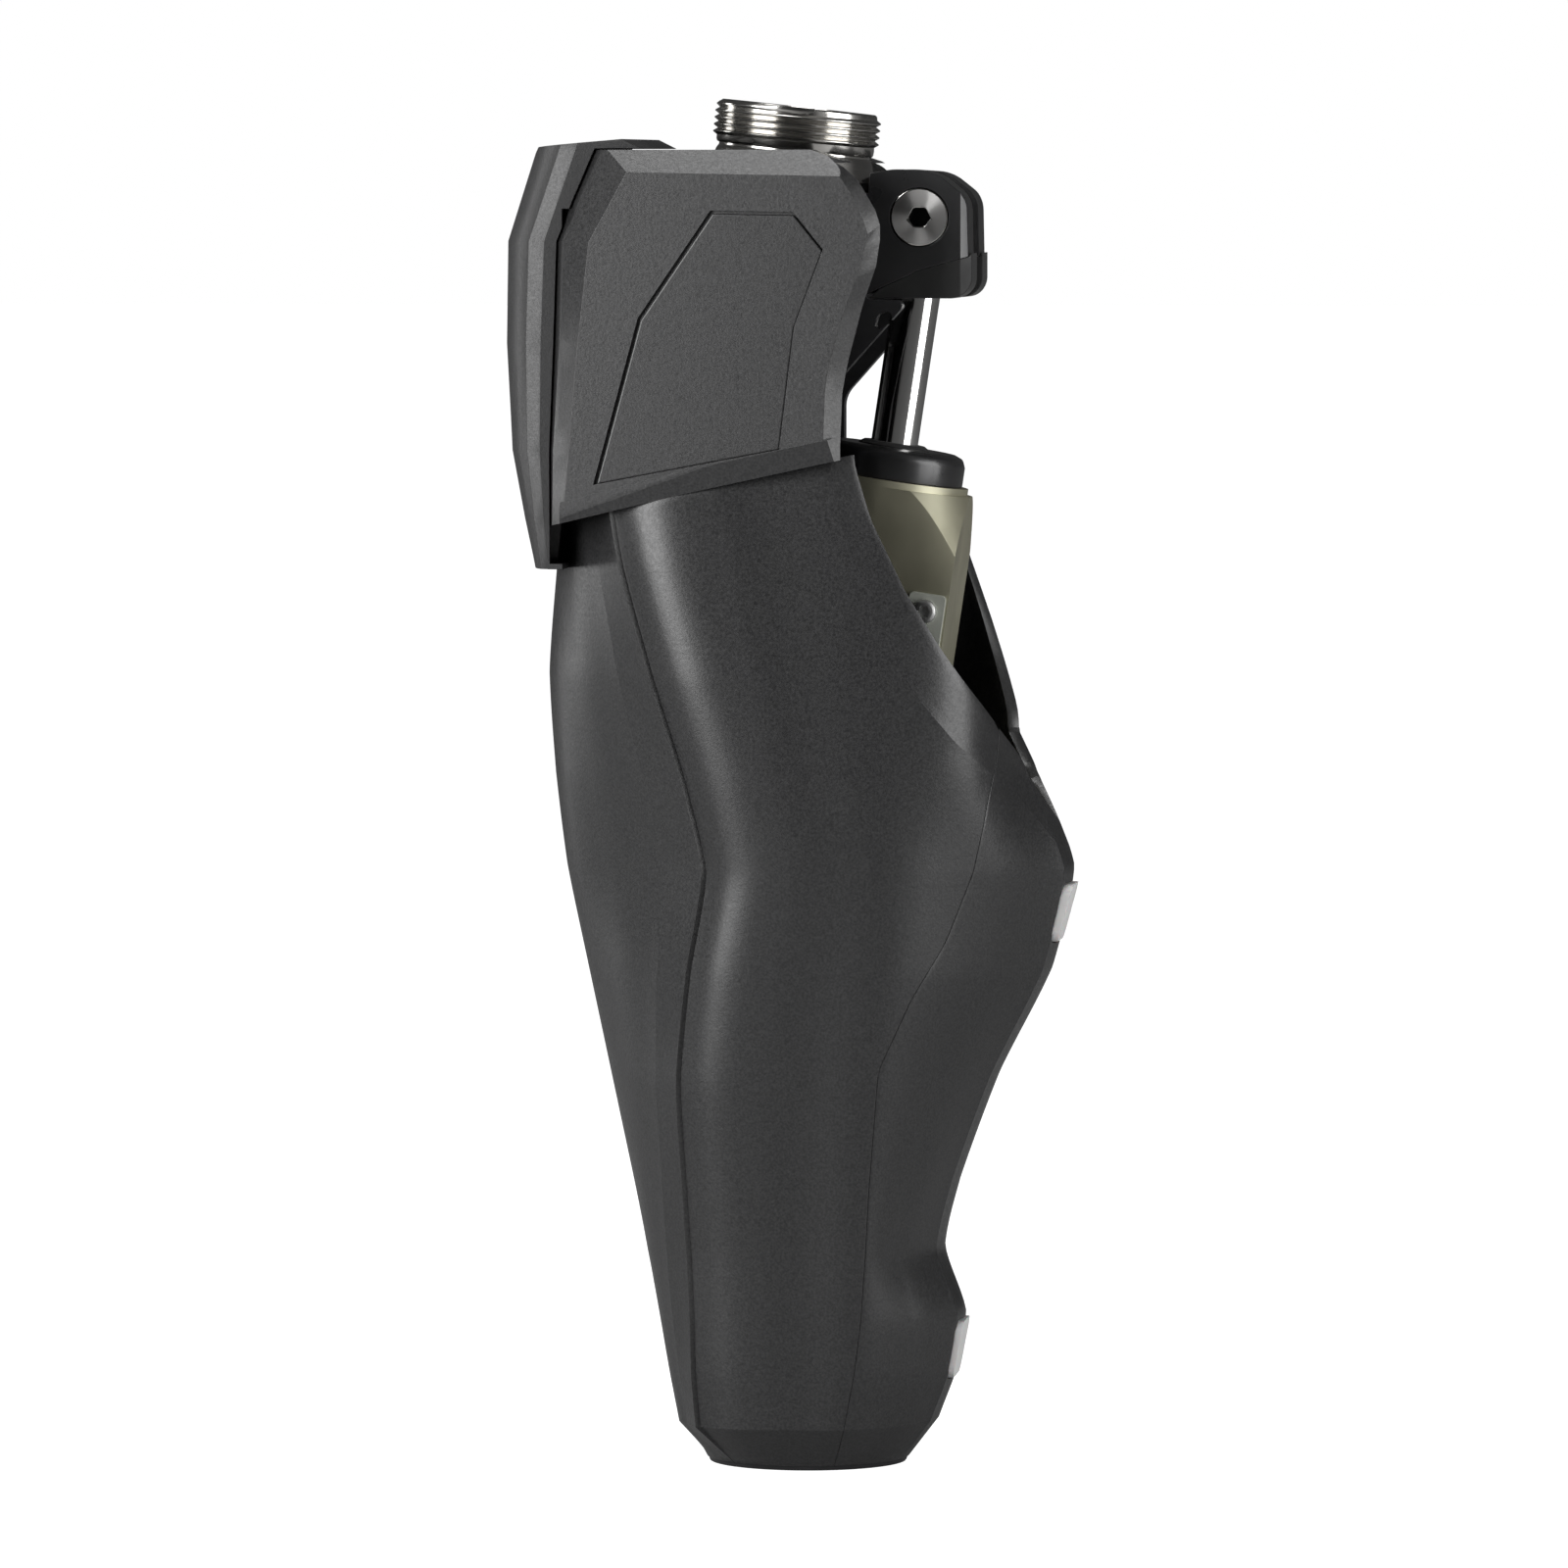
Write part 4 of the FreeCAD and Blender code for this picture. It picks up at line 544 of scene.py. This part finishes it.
def gridPiece(name, across, up, place, crispColumns=(), crispRows=()):
    # grid whose points are laid by place(column, row), with crisp creases along some of its lines
    deselectAll()
    bpy.ops.mesh.primitive_grid_add(x_subdivisions=across, y_subdivisions=up, size=1)
    piece = bpy.context.object
    piece.name = name
    spots = [(round((v.co.x + 0.5) * across), round((v.co.y + 0.5) * up)) for v in piece.data.vertices]
    for vertex, (column, row) in zip(piece.data.vertices, spots):
        vertex.co = place(column, row)
    for edge in piece.data.edges:
        (column, row), (otherColumn, otherRow) = (spots[i] for i in edge.vertices)
        edge.use_edge_sharp = (column == otherColumn and column in crispColumns
                               or row == otherRow and row in crispRows)
    piece.data.update()
    return piece


def spread(stops, counts):
    # values between stops, with a count of steps for each stretch
    values = [stops[0]]
    for low, high, count in zip(stops, stops[1:], counts):
        values += [low + (high - low) * k / count for k in range(1, count + 1)]
    return values


def thicken(piece):
    # wall behind one of the calf's outer faces, then broken edges
    editAll(piece)
    bpy.ops.mesh.remove_doubles(threshold=meshCare["weld"] / 2 * mm)
    bpy.ops.mesh.normals_make_consistent(inside=False)
    leaveEdit()
    applyModifier(piece, "SOLIDIFY", thickness=calf["wall"] * mm, offset=-1, use_even_offset=True)
    bevelEdges(piece, calf["edge"], calf["edgeAngle"])


def onLip(height, share, side, down):
    # place on the chamfer under the lower edge
    flat = outlinePoint(height, share)
    ring = flat.normalized() * calf["lipRadius"]
    flat = flat.lerp(ring, down)
    low = height + (calf["lipHeight"] - height) * down
    return Vector((flat.x, side * max(flat.y, 0), low)) * mm


def shinShell():
    # front of the calf: closed at the front, open at the back
    fixed = spread(range(len(calf["frontSteps"]) + 1), calf["frontSteps"])
    rest = spread([0, 1], [calf["sideSteps"]])[1:]
    band = spread([0, 1], [calf["bandSteps"]])[1:]
    columns = len(fixed) + len(rest) + len(band) - 1
    lipRows, rows = calf["lipRows"], calf["shellRows"]
    rounds = 6                         # to find the height and the share that fit together
    leastBand = 0.3

    def place(column, row):
        side = -1 if column <= columns else 1
        k = abs(column - columns)
        down = max(lipRows - row, 0) / lipRows
        up = max(row - lipRows, 0) / rows
        height = calf["bottom"] + (calf["topGuess"] - calf["bottom"]) * up
        for _ in range(rounds):
            if k < len(fixed):
                share = fixed[k]
            else:
                edge = min(lineAt(partingLine, height) - calf["seam"] / 2, openingAt(height, side))
                last = shareAt(height, edge)
                first = shareAt(height, min(bandAt(height, side), edge - leastBand))
                if k < len(fixed) + len(rest):
                    share = fixed[-1] + (first - fixed[-1]) * rest[k - len(fixed)]
                else:
                    share = first + (last - first) * band[k - len(fixed) - len(rest)]
            x = outlinePoint(height, share).x
            top = lineAt(lipLine, x) + calf["topRise"]
            height = calf["bottom"] + (top - calf["bottom"]) * up
        if down:
            return onLip(calf["bottom"], share, side, down)
        return onCalf(height, share, side)

    creases = [fixed.index(corner) for corner in calf["corners"][:3]] + [len(fixed) + len(rest) - 1]
    crisp = [columns + turn * crease for crease in creases for turn in (-1, 1)]
    piece = gridPiece("shinShell", 2 * columns, rows + lipRows, place, crisp, (lipRows,))
    thicken(piece)
    gap = calf["insertGap"]
    thick = 5                          # the tool ends outside the calf's face
    cutAway(piece, insertBlank("insertRecess", calf["insertHalf"] + gap, calf["insertDepth"], thick, gap))
    smooth(piece, calf["smoothing"])
    finish(piece, "shinShell", "shin_shell")


def insertBlank(name, half, deep, thick, grow):
    # strip that follows the front of the calf; it runs outwards from its inner face
    low = calf["bottom"] + calf["insertFoot"] - grow
    high = calf["insertTop"] + grow
    halfColumns, rows = 4, 60

    def place(column, row):
        height = low + (high - low) * row / rows
        y = half * (column - halfColumns) / halfColumns
        point = outlinePoint(height, abs(y) / calf["flatHalf"])
        return Vector((point.x + deep, y, height)) * mm

    piece = gridPiece(name, 2 * halfColumns, rows, place)
    editAll(piece)
    bpy.ops.mesh.normals_make_consistent(inside=False)
    leaveEdit()
    outwards = 1 if piece.data.polygons[0].normal.x < 0 else -1
    applyModifier(piece, "SOLIDIFY", thickness=thick * mm, offset=outwards, use_even_offset=True)
    editAll(piece)
    bpy.ops.mesh.normals_make_consistent(inside=False)
    leaveEdit()
    return piece


def frontInsert():
    deep = calf["insertDepth"]
    strip = insertBlank("frontInsert", calf["insertHalf"], deep, deep - calf["insertBelow"], 0)
    bevelEdges(strip, calf["insertEdge"], 40)
    smooth(strip)
    finish(strip, "frontInsert", "front_insert")


releaseTab = {
    "height": 12.4,
    "width": 16,
    "corner": 2.6,
    "gap": 0.35,
    "through": 30,                     # length of the tool that cuts its window
}


def tabWindow(node):
    # rounded opening round a release tab
    low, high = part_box(node)
    gap = releaseTab["gap"]
    deselectAll()
    bpy.ops.mesh.primitive_cube_add(size=1, location=(low + high) / 2)
    tool = bpy.context.object
    tool.scale = (releaseTab["through"] * mm, releaseTab["width"] * mm + 2 * gap * mm,
                  releaseTab["height"] * mm + 2 * gap * mm)
    settle(tool)
    bpy.ops.object.mode_set(mode="EDIT")
    bpy.ops.mesh.select_all(action="DESELECT")
    leaveEdit()
    for edge in tool.data.edges:
        a, b = (tool.data.vertices[i].co for i in edge.vertices)
        edge.select = abs((b - a).normalized().x) > 0.9           # edges that run through the wall
    bpy.ops.object.mode_set(mode="EDIT")
    bpy.ops.mesh.select_mode(type="EDGE")
    bpy.ops.mesh.bevel(offset=(releaseTab["corner"] + gap) * mm, segments=6)
    leaveEdit()
    return tool


def rearCover():
    # back of the calf, from the parting line round the spine
    toSpine, overSpine = 34, 6         # mesh columns to the spine's edge and from there to the back
    spineEdge = calf["corners"][3]
    columns = toSpine + overSpine
    lipRows, rows, rimRows = calf["lipRows"], 84, 5
    firstGuess, rounds = 100.0, 10     # to find the height and the share that fit together
    leastBand = 0.5

    def place(column, row):
        side = -1 if column <= columns else 1
        k = abs(column - columns)
        opening = rightOpening if side < 0 else leftOpening
        crossing = [(x, z) for z, x in reversed(opening)]
        starts = [(x, z) for z, x in reversed(bandStart)]
        height = firstGuess
        for _ in range(rounds):
            first = shareAt(height, lineAt(partingLine, height) + calf["seam"] / 2)
            if k <= overSpine:
                share = spineEdge + 1 - k / overSpine
            else:
                share = spineEdge - (spineEdge - first) * (k - overSpine) / toSpine
            x = outlinePoint(height, share).x
            top = min(lineAt(crossing, x), calf["coverTop"])
            start = min(lineAt(starts, x), top - leastBand)
            up = max(row - lipRows, 0)
            if up <= rows:
                wanted = calf["bottom"] + (start - calf["bottom"]) * up / rows
            else:
                wanted = start + (top - start) * (up - rows) / rimRows
            height = (height + wanted) / 2
        if row < lipRows:
            return onLip(calf["bottom"], share, side, (lipRows - row) / lipRows)
        return onCalf(wanted, share, side)

    crispColumns = (columns - overSpine, columns + overSpine)
    crispRows = (lipRows, lipRows + rows)
    allRows = lipRows + rows + rimRows
    piece = gridPiece("rearCover", 2 * columns, allRows, place, crispColumns, crispRows)
    thicken(piece)
    for tab in ("upper_release_tab", "lower_release_tab"):
        cutAway(piece, tabWindow(tab))
    smooth(piece, calf["smoothing"])
    finish(piece, "rearCover", "rear_cover")


# Threaded connector, made upright about the world's axis and then leant with its mount

connector = {
    "seat": 15.5,                      # heights are above the knee axis, the rest are radii
    "flare": 18.4,
    "neck": 16.4,
    "root": 17.1,
    "pitch": 1.5,
    "threadLow": 23.5,
    "threadHigh": 32.1,
    "firstTurn": 0.75,                 # middle of the first turn, above the thread's low end
    "runOut": 1.4,                     # length that the two ends of the thread leave free
    "fade": 0.35,                      # turns over which the thread rises and dies away
    "aroundCore": 128,
    "aroundThread": 72,
    "cup": 12.4,
    "cupDepth": 9,
}
# Profile across one turn of the thread as (out from the root, along the axis)
threadProfile = [(-0.1, -0.74), (0.06, -0.68), (0.86, -0.13), (0.9, 0.0), (0.86, 0.13), (0.06, 0.68),
                 (-0.1, 0.74)]


def threadedConnector():
    seat, flare, neck = connector["seat"], connector["flare"], connector["neck"]
    root, cup, top = connector["root"], connector["cup"], connector["threadHigh"]
    floor = top - connector["cupDepth"]
    core = lathe("connectorCore", [
        (0, seat), (flare - 0.3, seat), (flare, seat + 0.3), (flare, seat + 1.9), (flare - 0.35, seat + 2.4),
        (neck + 0.5, seat + 6.1), (neck, seat + 6.9), (neck, seat + 7.3), (root - 0.2, seat + 7.5),
        (root, seat + 8), (root, top - 0.9), (root - 0.1, top - 0.35), (root - 0.5, top),
        (cup + 0.9, top), (cup, top - 0.8), (cup, floor + 0.4), (cup - 0.4, floor), (0, floor),
    ], connector["aroundCore"])
    turns = (top - connector["threadLow"] - connector["runOut"]) / connector["pitch"]
    steps = int(turns * connector["aroundThread"])

    def place(column, row):
        turn = turns * column / steps
        out, along = threadProfile[row]
        fade = min(1, turn / connector["fade"], (turns - turn) / connector["fade"])
        radius = root + out * fade if out > 0 else root + out
        angle = 2 * math.pi * turn
        height = connector["threadLow"] + connector["firstTurn"] + turn * connector["pitch"] + along
        return Vector((radius * math.cos(angle), radius * math.sin(angle), height)) * mm

    thread = gridPiece("connectorThread", steps, len(threadProfile) - 1, place)
    takeUp(core)
    thread.select_set(True)
    bpy.ops.object.join()
    core.matrix_world = aimed(kneeAxis, connectorAxis)
    settle(core)
    smooth(core, 24)
    finish(core, "threadedConnector", "threaded_connector")


# Screws

starRecess = {
    "lobes": 6,
    "reach": 1.45,
    "mean": 0.86,                      # mean radius and lobe height, as shares of the reach
    "lobe": 0.14,
    "depth": 1.2,
    "above": 0.4,                      # the tool starts outside the screw
    "corners": 36,
}
# Half outline of the bracket's screw as (radius, height), from the end of its shank to its face
bracketScrewShape = [(0, -3.2), (1.5, -3.2), (1.5, -1.7), (2.62, -1.7), (2.65, -1.55), (2.65, -0.75),
                     (2.45, -0.3), (2.0, -0.05), (1.8, 0), (0, 0)]
pinScrew = {
    "socket": 2.45,                    # reach of the hexagon's corners
    "rim": 5.9,
    "recess": 0.4,                     # faces this far below the outermost one lie in the socket
    "level": 0.97,                     # share of a normal along the axis that counts as flat
}


def starTool():
    # lobed recess for a screw head, pointing down from its origin
    deselectAll()
    bpy.ops.mesh.primitive_circle_add(vertices=starRecess["corners"], radius=1, fill_type="NGON")
    tool = bpy.context.object
    for vertex in tool.data.vertices:
        angle = math.atan2(vertex.co.y, vertex.co.x)
        wave = starRecess["mean"] + starRecess["lobe"] * math.cos(starRecess["lobes"] * angle)
        radius = starRecess["reach"] * wave
        vertex.co = Vector((radius * math.cos(angle), radius * math.sin(angle), starRecess["above"])) * mm
    editAll(tool)
    down = -(starRecess["depth"] + starRecess["above"]) * mm
    bpy.ops.mesh.extrude_region_move(TRANSFORM_OT_translate={"value": (0, 0, down)})
    bpy.ops.mesh.select_all(action="SELECT")
    bpy.ops.mesh.normals_make_consistent(inside=False)
    leaveEdit()
    return tool


def bracketScrew():
    low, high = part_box("bracket_screw")
    screw = lathe("bracketScrew", bracketScrewShape, 48)
    cutAway(screw, starTool())
    middle = (low + high) / 2
    screw.matrix_world = aimed(Vector((middle.x, low.y, middle.z)), Vector((0, -1, 0)))
    settle(screw)
    smooth(screw, 28)
    finish(screw, "bracketScrew", "bracket_screw", "small_screw_steel")


def dressPinScrews(piece):
    # painted shade inside the hexagon socket, polished on the rim of the head
    piece.data.materials.append(materials["socket_shade"])
    piece.data.materials.append(materials["polished_steel"])
    outside = max(abs(v.co.y) for v in piece.data.vertices)
    for face in piece.data.polygons:
        away = math.hypot(face.center.x - damperPin.x, face.center.z - damperPin.z)
        if away < pinScrew["socket"] * mm and abs(face.center.y) < outside - pinScrew["recess"] * mm:
            face.material_index = 1
        elif away > pinScrew["rim"] * mm or abs(face.normal.y) < pinScrew["level"]:
            face.material_index = 2


# Node, name, width of its broken edges, and where it isn't the usual one the angle that counts as an
# edge and the angle of smoothing
rigidPieces = [
    ("joint_head", "jointHead", 0.25, 24),
    ("swing_bumper", "swingBumper", 0.3, 24),
    ("rod_pin_screws", "rodPinScrews", 0.3, 24),
    ("connector_bolt", "connectorBolt", 0.25),
    ("axle_discs", "axleDiscs", 0.2),
    ("piston_rod", "pistonRod", 0),
    ("hydraulic_cylinder", "hydraulicCylinder", 0.35, 14, 20),
    ("cylinder_cap", "cylinderCap", 0.4),
    ("sensor_bracket", "sensorBracket", 0.2),
    ("shin_frame", "shinFrame", 0.45),
    ("extension_stop", "extensionStop", 0.4),
    ("clamp_screw", "clampScrew", 0.15),
    ("valve_block", "valveBlock", 0.4),
    ("battery_tray", "batteryTray", 0.3),
    ("battery", "batteryBlock", 0.8),
    ("upper_release_tab", "upperReleaseTab", 0.3),
    ("lower_release_tab", "lowerReleaseTab", 0.3),
]


def dressRigidPieces():
    for row in rigidPieces:
        piece = dressedCopy(*row)
        if piece.name == "rodPinScrews":
            dressPinScrews(piece)


# Knee shield and pad

shield = {
    "bevelPoint": (-20, 40.5, 280.2),      # on the side face, where the bevel along the top begins
    "bevelFace": (-0.055, 0.72, 0.70),     # outward normal of that bevel
    "lipPoint": (-22.6, 42.1, 215.2),      # on the band along the foot, which leans in from here down
    "lipFace": (-0.015, 0.97, -0.22),
    "edge": 0.5,
    "edgeAngle": 9,                        # the shield's facets meet at small angles
    "smoothing": 8,
    "inlayEdge": 0.4,
    "inlayShift": (0.3, 0, -0.3),          # the inlay sits low and back in its recess
    "padEdge": 0.45,
    "padFlange": 0.8,
    "padSmoothing": 22,
}


def sliced(piece, point, outward):
    # cuts away what lies beyond a plane and closes the cut
    editAll(piece)
    bpy.ops.mesh.bisect(plane_co=point, plane_no=outward, use_fill=True, clear_outer=True, threshold=0.00001)
    leaveEdit()


def dressShield():
    piece = dressedCopy("knee_shield", "kneeShield", 0)
    for facet in ("bevel", "lip"):
        x, y, z = (value * mm for value in shield[facet + "Point"])
        across, out, up = shield[facet + "Face"]
        for side in (-1, 1):
            sliced(piece, (x, side * y, z), (across, side * out, up))
    bevelEdges(piece, shield["edge"], shield["edgeAngle"])
    smooth(piece, shield["smoothing"])
    for side in ("right", "left"):
        inlay = dressedCopy(side + "_inlay", side + "Inlay", shield["inlayEdge"], 30)
        editAll(inlay)
        bpy.ops.transform.translate(value=[value * mm for value in shield["inlayShift"]])
        leaveEdit()
    # short flange on each side of the pad
    pad = dressedCopy("knee_pad", "kneePad", 0)
    outermost = max(v.co.y for v in pad.data.vertices) - 0.1 * mm
    for side in (-1, 1):
        pickFaces(pad, lambda face: face.normal.y * side > 0.97 and face.center.y * side > outermost)
        out = side * shield["padFlange"] * mm
        bpy.ops.mesh.extrude_region_move(TRANSFORM_OT_translate={"value": (0, out, 0)})
        leaveEdit()
    bevelEdges(pad, shield["padEdge"], 24)
    smooth(pad, shield["padSmoothing"])


# Studio

lampAim = Vector((0, 0, 0.15))         # half way up the knee and shin


def lamp(name, place, power, wide, tall):
    deselectAll()
    bpy.ops.object.light_add(type="AREA", location=place)
    light = bpy.context.object
    light.name = name
    light.data.shape = "RECTANGLE"
    light.data.size = wide
    light.data.size_y = tall
    light.data.energy = power
    light.rotation_euler = (lampAim - Vector(place)).to_track_quat("-Z", "Y").to_euler()


studioLight = {
    # name: place, power, width, height
    "keySoftbox": ((-0.86, -0.92, 0.50), 20, 0.80, 1.0),
    "rearSoftbox": ((1.08, -0.40, 0.25), 13, 0.75, 1.1),
    "frontSoftbox": ((-1.15, 0.45, 0.25), 4, 0.3, 1.3),
    "topSoftbox": ((-0.1, 0.10, 1.3), 5, 0.5, 0.5),
}
# How bright the room looks from the object, by direction: 0.5 is towards the camera, 0.25 to the left
roomTones = [(0.0, 0.05), (0.20, 0.05), (0.30, 0.06), (0.32, 0.30), (0.43, 0.30), (0.46, 0.03), (0.58, 0.03),
             (0.61, 0.26), (0.76, 0.26), (0.82, 0.05), (1.0, 0.05)]
paleFloor = {
    "size": 40,
    "drop": 0.0003,                    # below the object's foot
    "tones": (0.29, 0.30, 0.31),
    "glow": (0.05, 1.05),              # for other rays, and for the camera's own
}


def floorAndBackground():
    deselectAll()
    bpy.ops.mesh.primitive_plane_add(size=paleFloor["size"], location=(0, 0, -paleFloor["drop"]))
    floor = bpy.context.object
    floor.name = "studioFloor"
    dark, even, light = ((tone,) * 3 for tone in paleFloor["tones"])
    tree, shader = startMaterial("paleFloor", even, 0.8)
    mottle(tree, shader, dark, light, noiseField(tree, 3, 2))
    glow = tree.nodes.new("ShaderNodeMapRange")
    rays = tree.nodes.new("ShaderNodeLightPath")
    glow.inputs["To Min"].default_value, glow.inputs["To Max"].default_value = paleFloor["glow"]
    tree.links.new(rays.outputs["Is Camera Ray"], glow.inputs["Value"])
    tree.links.new(glow.outputs["Result"], shader.inputs["Emission Strength"])
    shader.inputs["Emission Color"].default_value = (1, 1, 1, 1)
    floor.data.materials.append(materials["paleFloor"])


def room():
    # its tones by direction light the object, and the camera's own rays see white
    world = bpy.data.worlds.new("studioAir")
    bpy.context.scene.world = world
    world.use_nodes = True
    tree = world.node_tree
    place = tree.nodes.new("ShaderNodeTexCoord")
    split = tree.nodes.new("ShaderNodeSeparateXYZ")
    flip = tree.nodes.new("ShaderNodeMath")
    flip.operation = "MULTIPLY"
    flip.inputs[1].default_value = -1
    bearing = tree.nodes.new("ShaderNodeMath")
    bearing.operation = "ARCTAN2"
    share = tree.nodes.new("ShaderNodeMapRange")
    share.inputs["From Min"].default_value = -math.pi
    share.inputs["From Max"].default_value = math.pi
    ramp = tree.nodes.new("ShaderNodeValToRGB")
    elements = ramp.color_ramp.elements
    while len(elements) < len(roomTones):
        elements.new(0.5)
    for element, (position, tone) in zip(elements, roomTones):
        element.position = position
        element.color = (tone, tone, tone, 1)
    rays = tree.nodes.new("ShaderNodeLightPath")
    larger = tree.nodes.new("ShaderNodeMath")
    larger.operation = "MAXIMUM"
    background = tree.nodes["Background"]
    tree.links.new(place.outputs["Generated"], split.inputs["Vector"])
    tree.links.new(split.outputs["Y"], flip.inputs[0])
    tree.links.new(split.outputs["X"], bearing.inputs[0])
    tree.links.new(flip.outputs["Value"], bearing.inputs[1])
    tree.links.new(bearing.outputs["Value"], share.inputs["Value"])
    tree.links.new(share.outputs["Result"], ramp.inputs["Fac"])
    tree.links.new(ramp.outputs["Color"], larger.inputs[0])
    tree.links.new(rays.outputs["Is Camera Ray"], larger.inputs[1])
    tree.links.new(larger.outputs["Value"], background.inputs["Strength"])
    background.inputs["Color"].default_value = (1, 1, 1, 1)


def studio():
    floorAndBackground()
    room()
    for name, (place, power, wide, tall) in studioLight.items():
        lamp(name, place, power, wide, tall)
    bpy.context.scene.view_settings.view_transform = "Standard"


photoView = {
    "aim": (-0.0053, 0, 0.1472),
    "yaw": 6.5,                        # a little behind square on
    "lift": 3.3,
    "distance": 2.3,
    "sensor": 36,
    "lens": 243.2,
}


def camera():
    # long lens at the photograph's angle
    aim = Vector(photoView["aim"])
    yaw, lift = math.radians(photoView["yaw"]), math.radians(photoView["lift"])
    back = Vector((math.sin(yaw) * math.cos(lift), -math.cos(yaw) * math.cos(lift), math.sin(lift)))
    bpy.ops.object.camera_add(location=aim + back * photoView["distance"])
    view = bpy.context.object
    view.data.sensor_width = photoView["sensor"]
    view.data.lens = photoView["lens"]
    view.rotation_euler = (-back).to_track_quat("-Z", "Y").to_euler()
    bpy.context.scene.camera = view


makeMaterials()
shinShell()
frontInsert()
print("calf shell done")
rearCover()
print("rear cover done")
threadedConnector()
bracketScrew()
print("connector and screws done")
dressRigidPieces()
print("rigid pieces dressed")
dressShield()
print("shield done")
deselectAll()
studio()
camera()
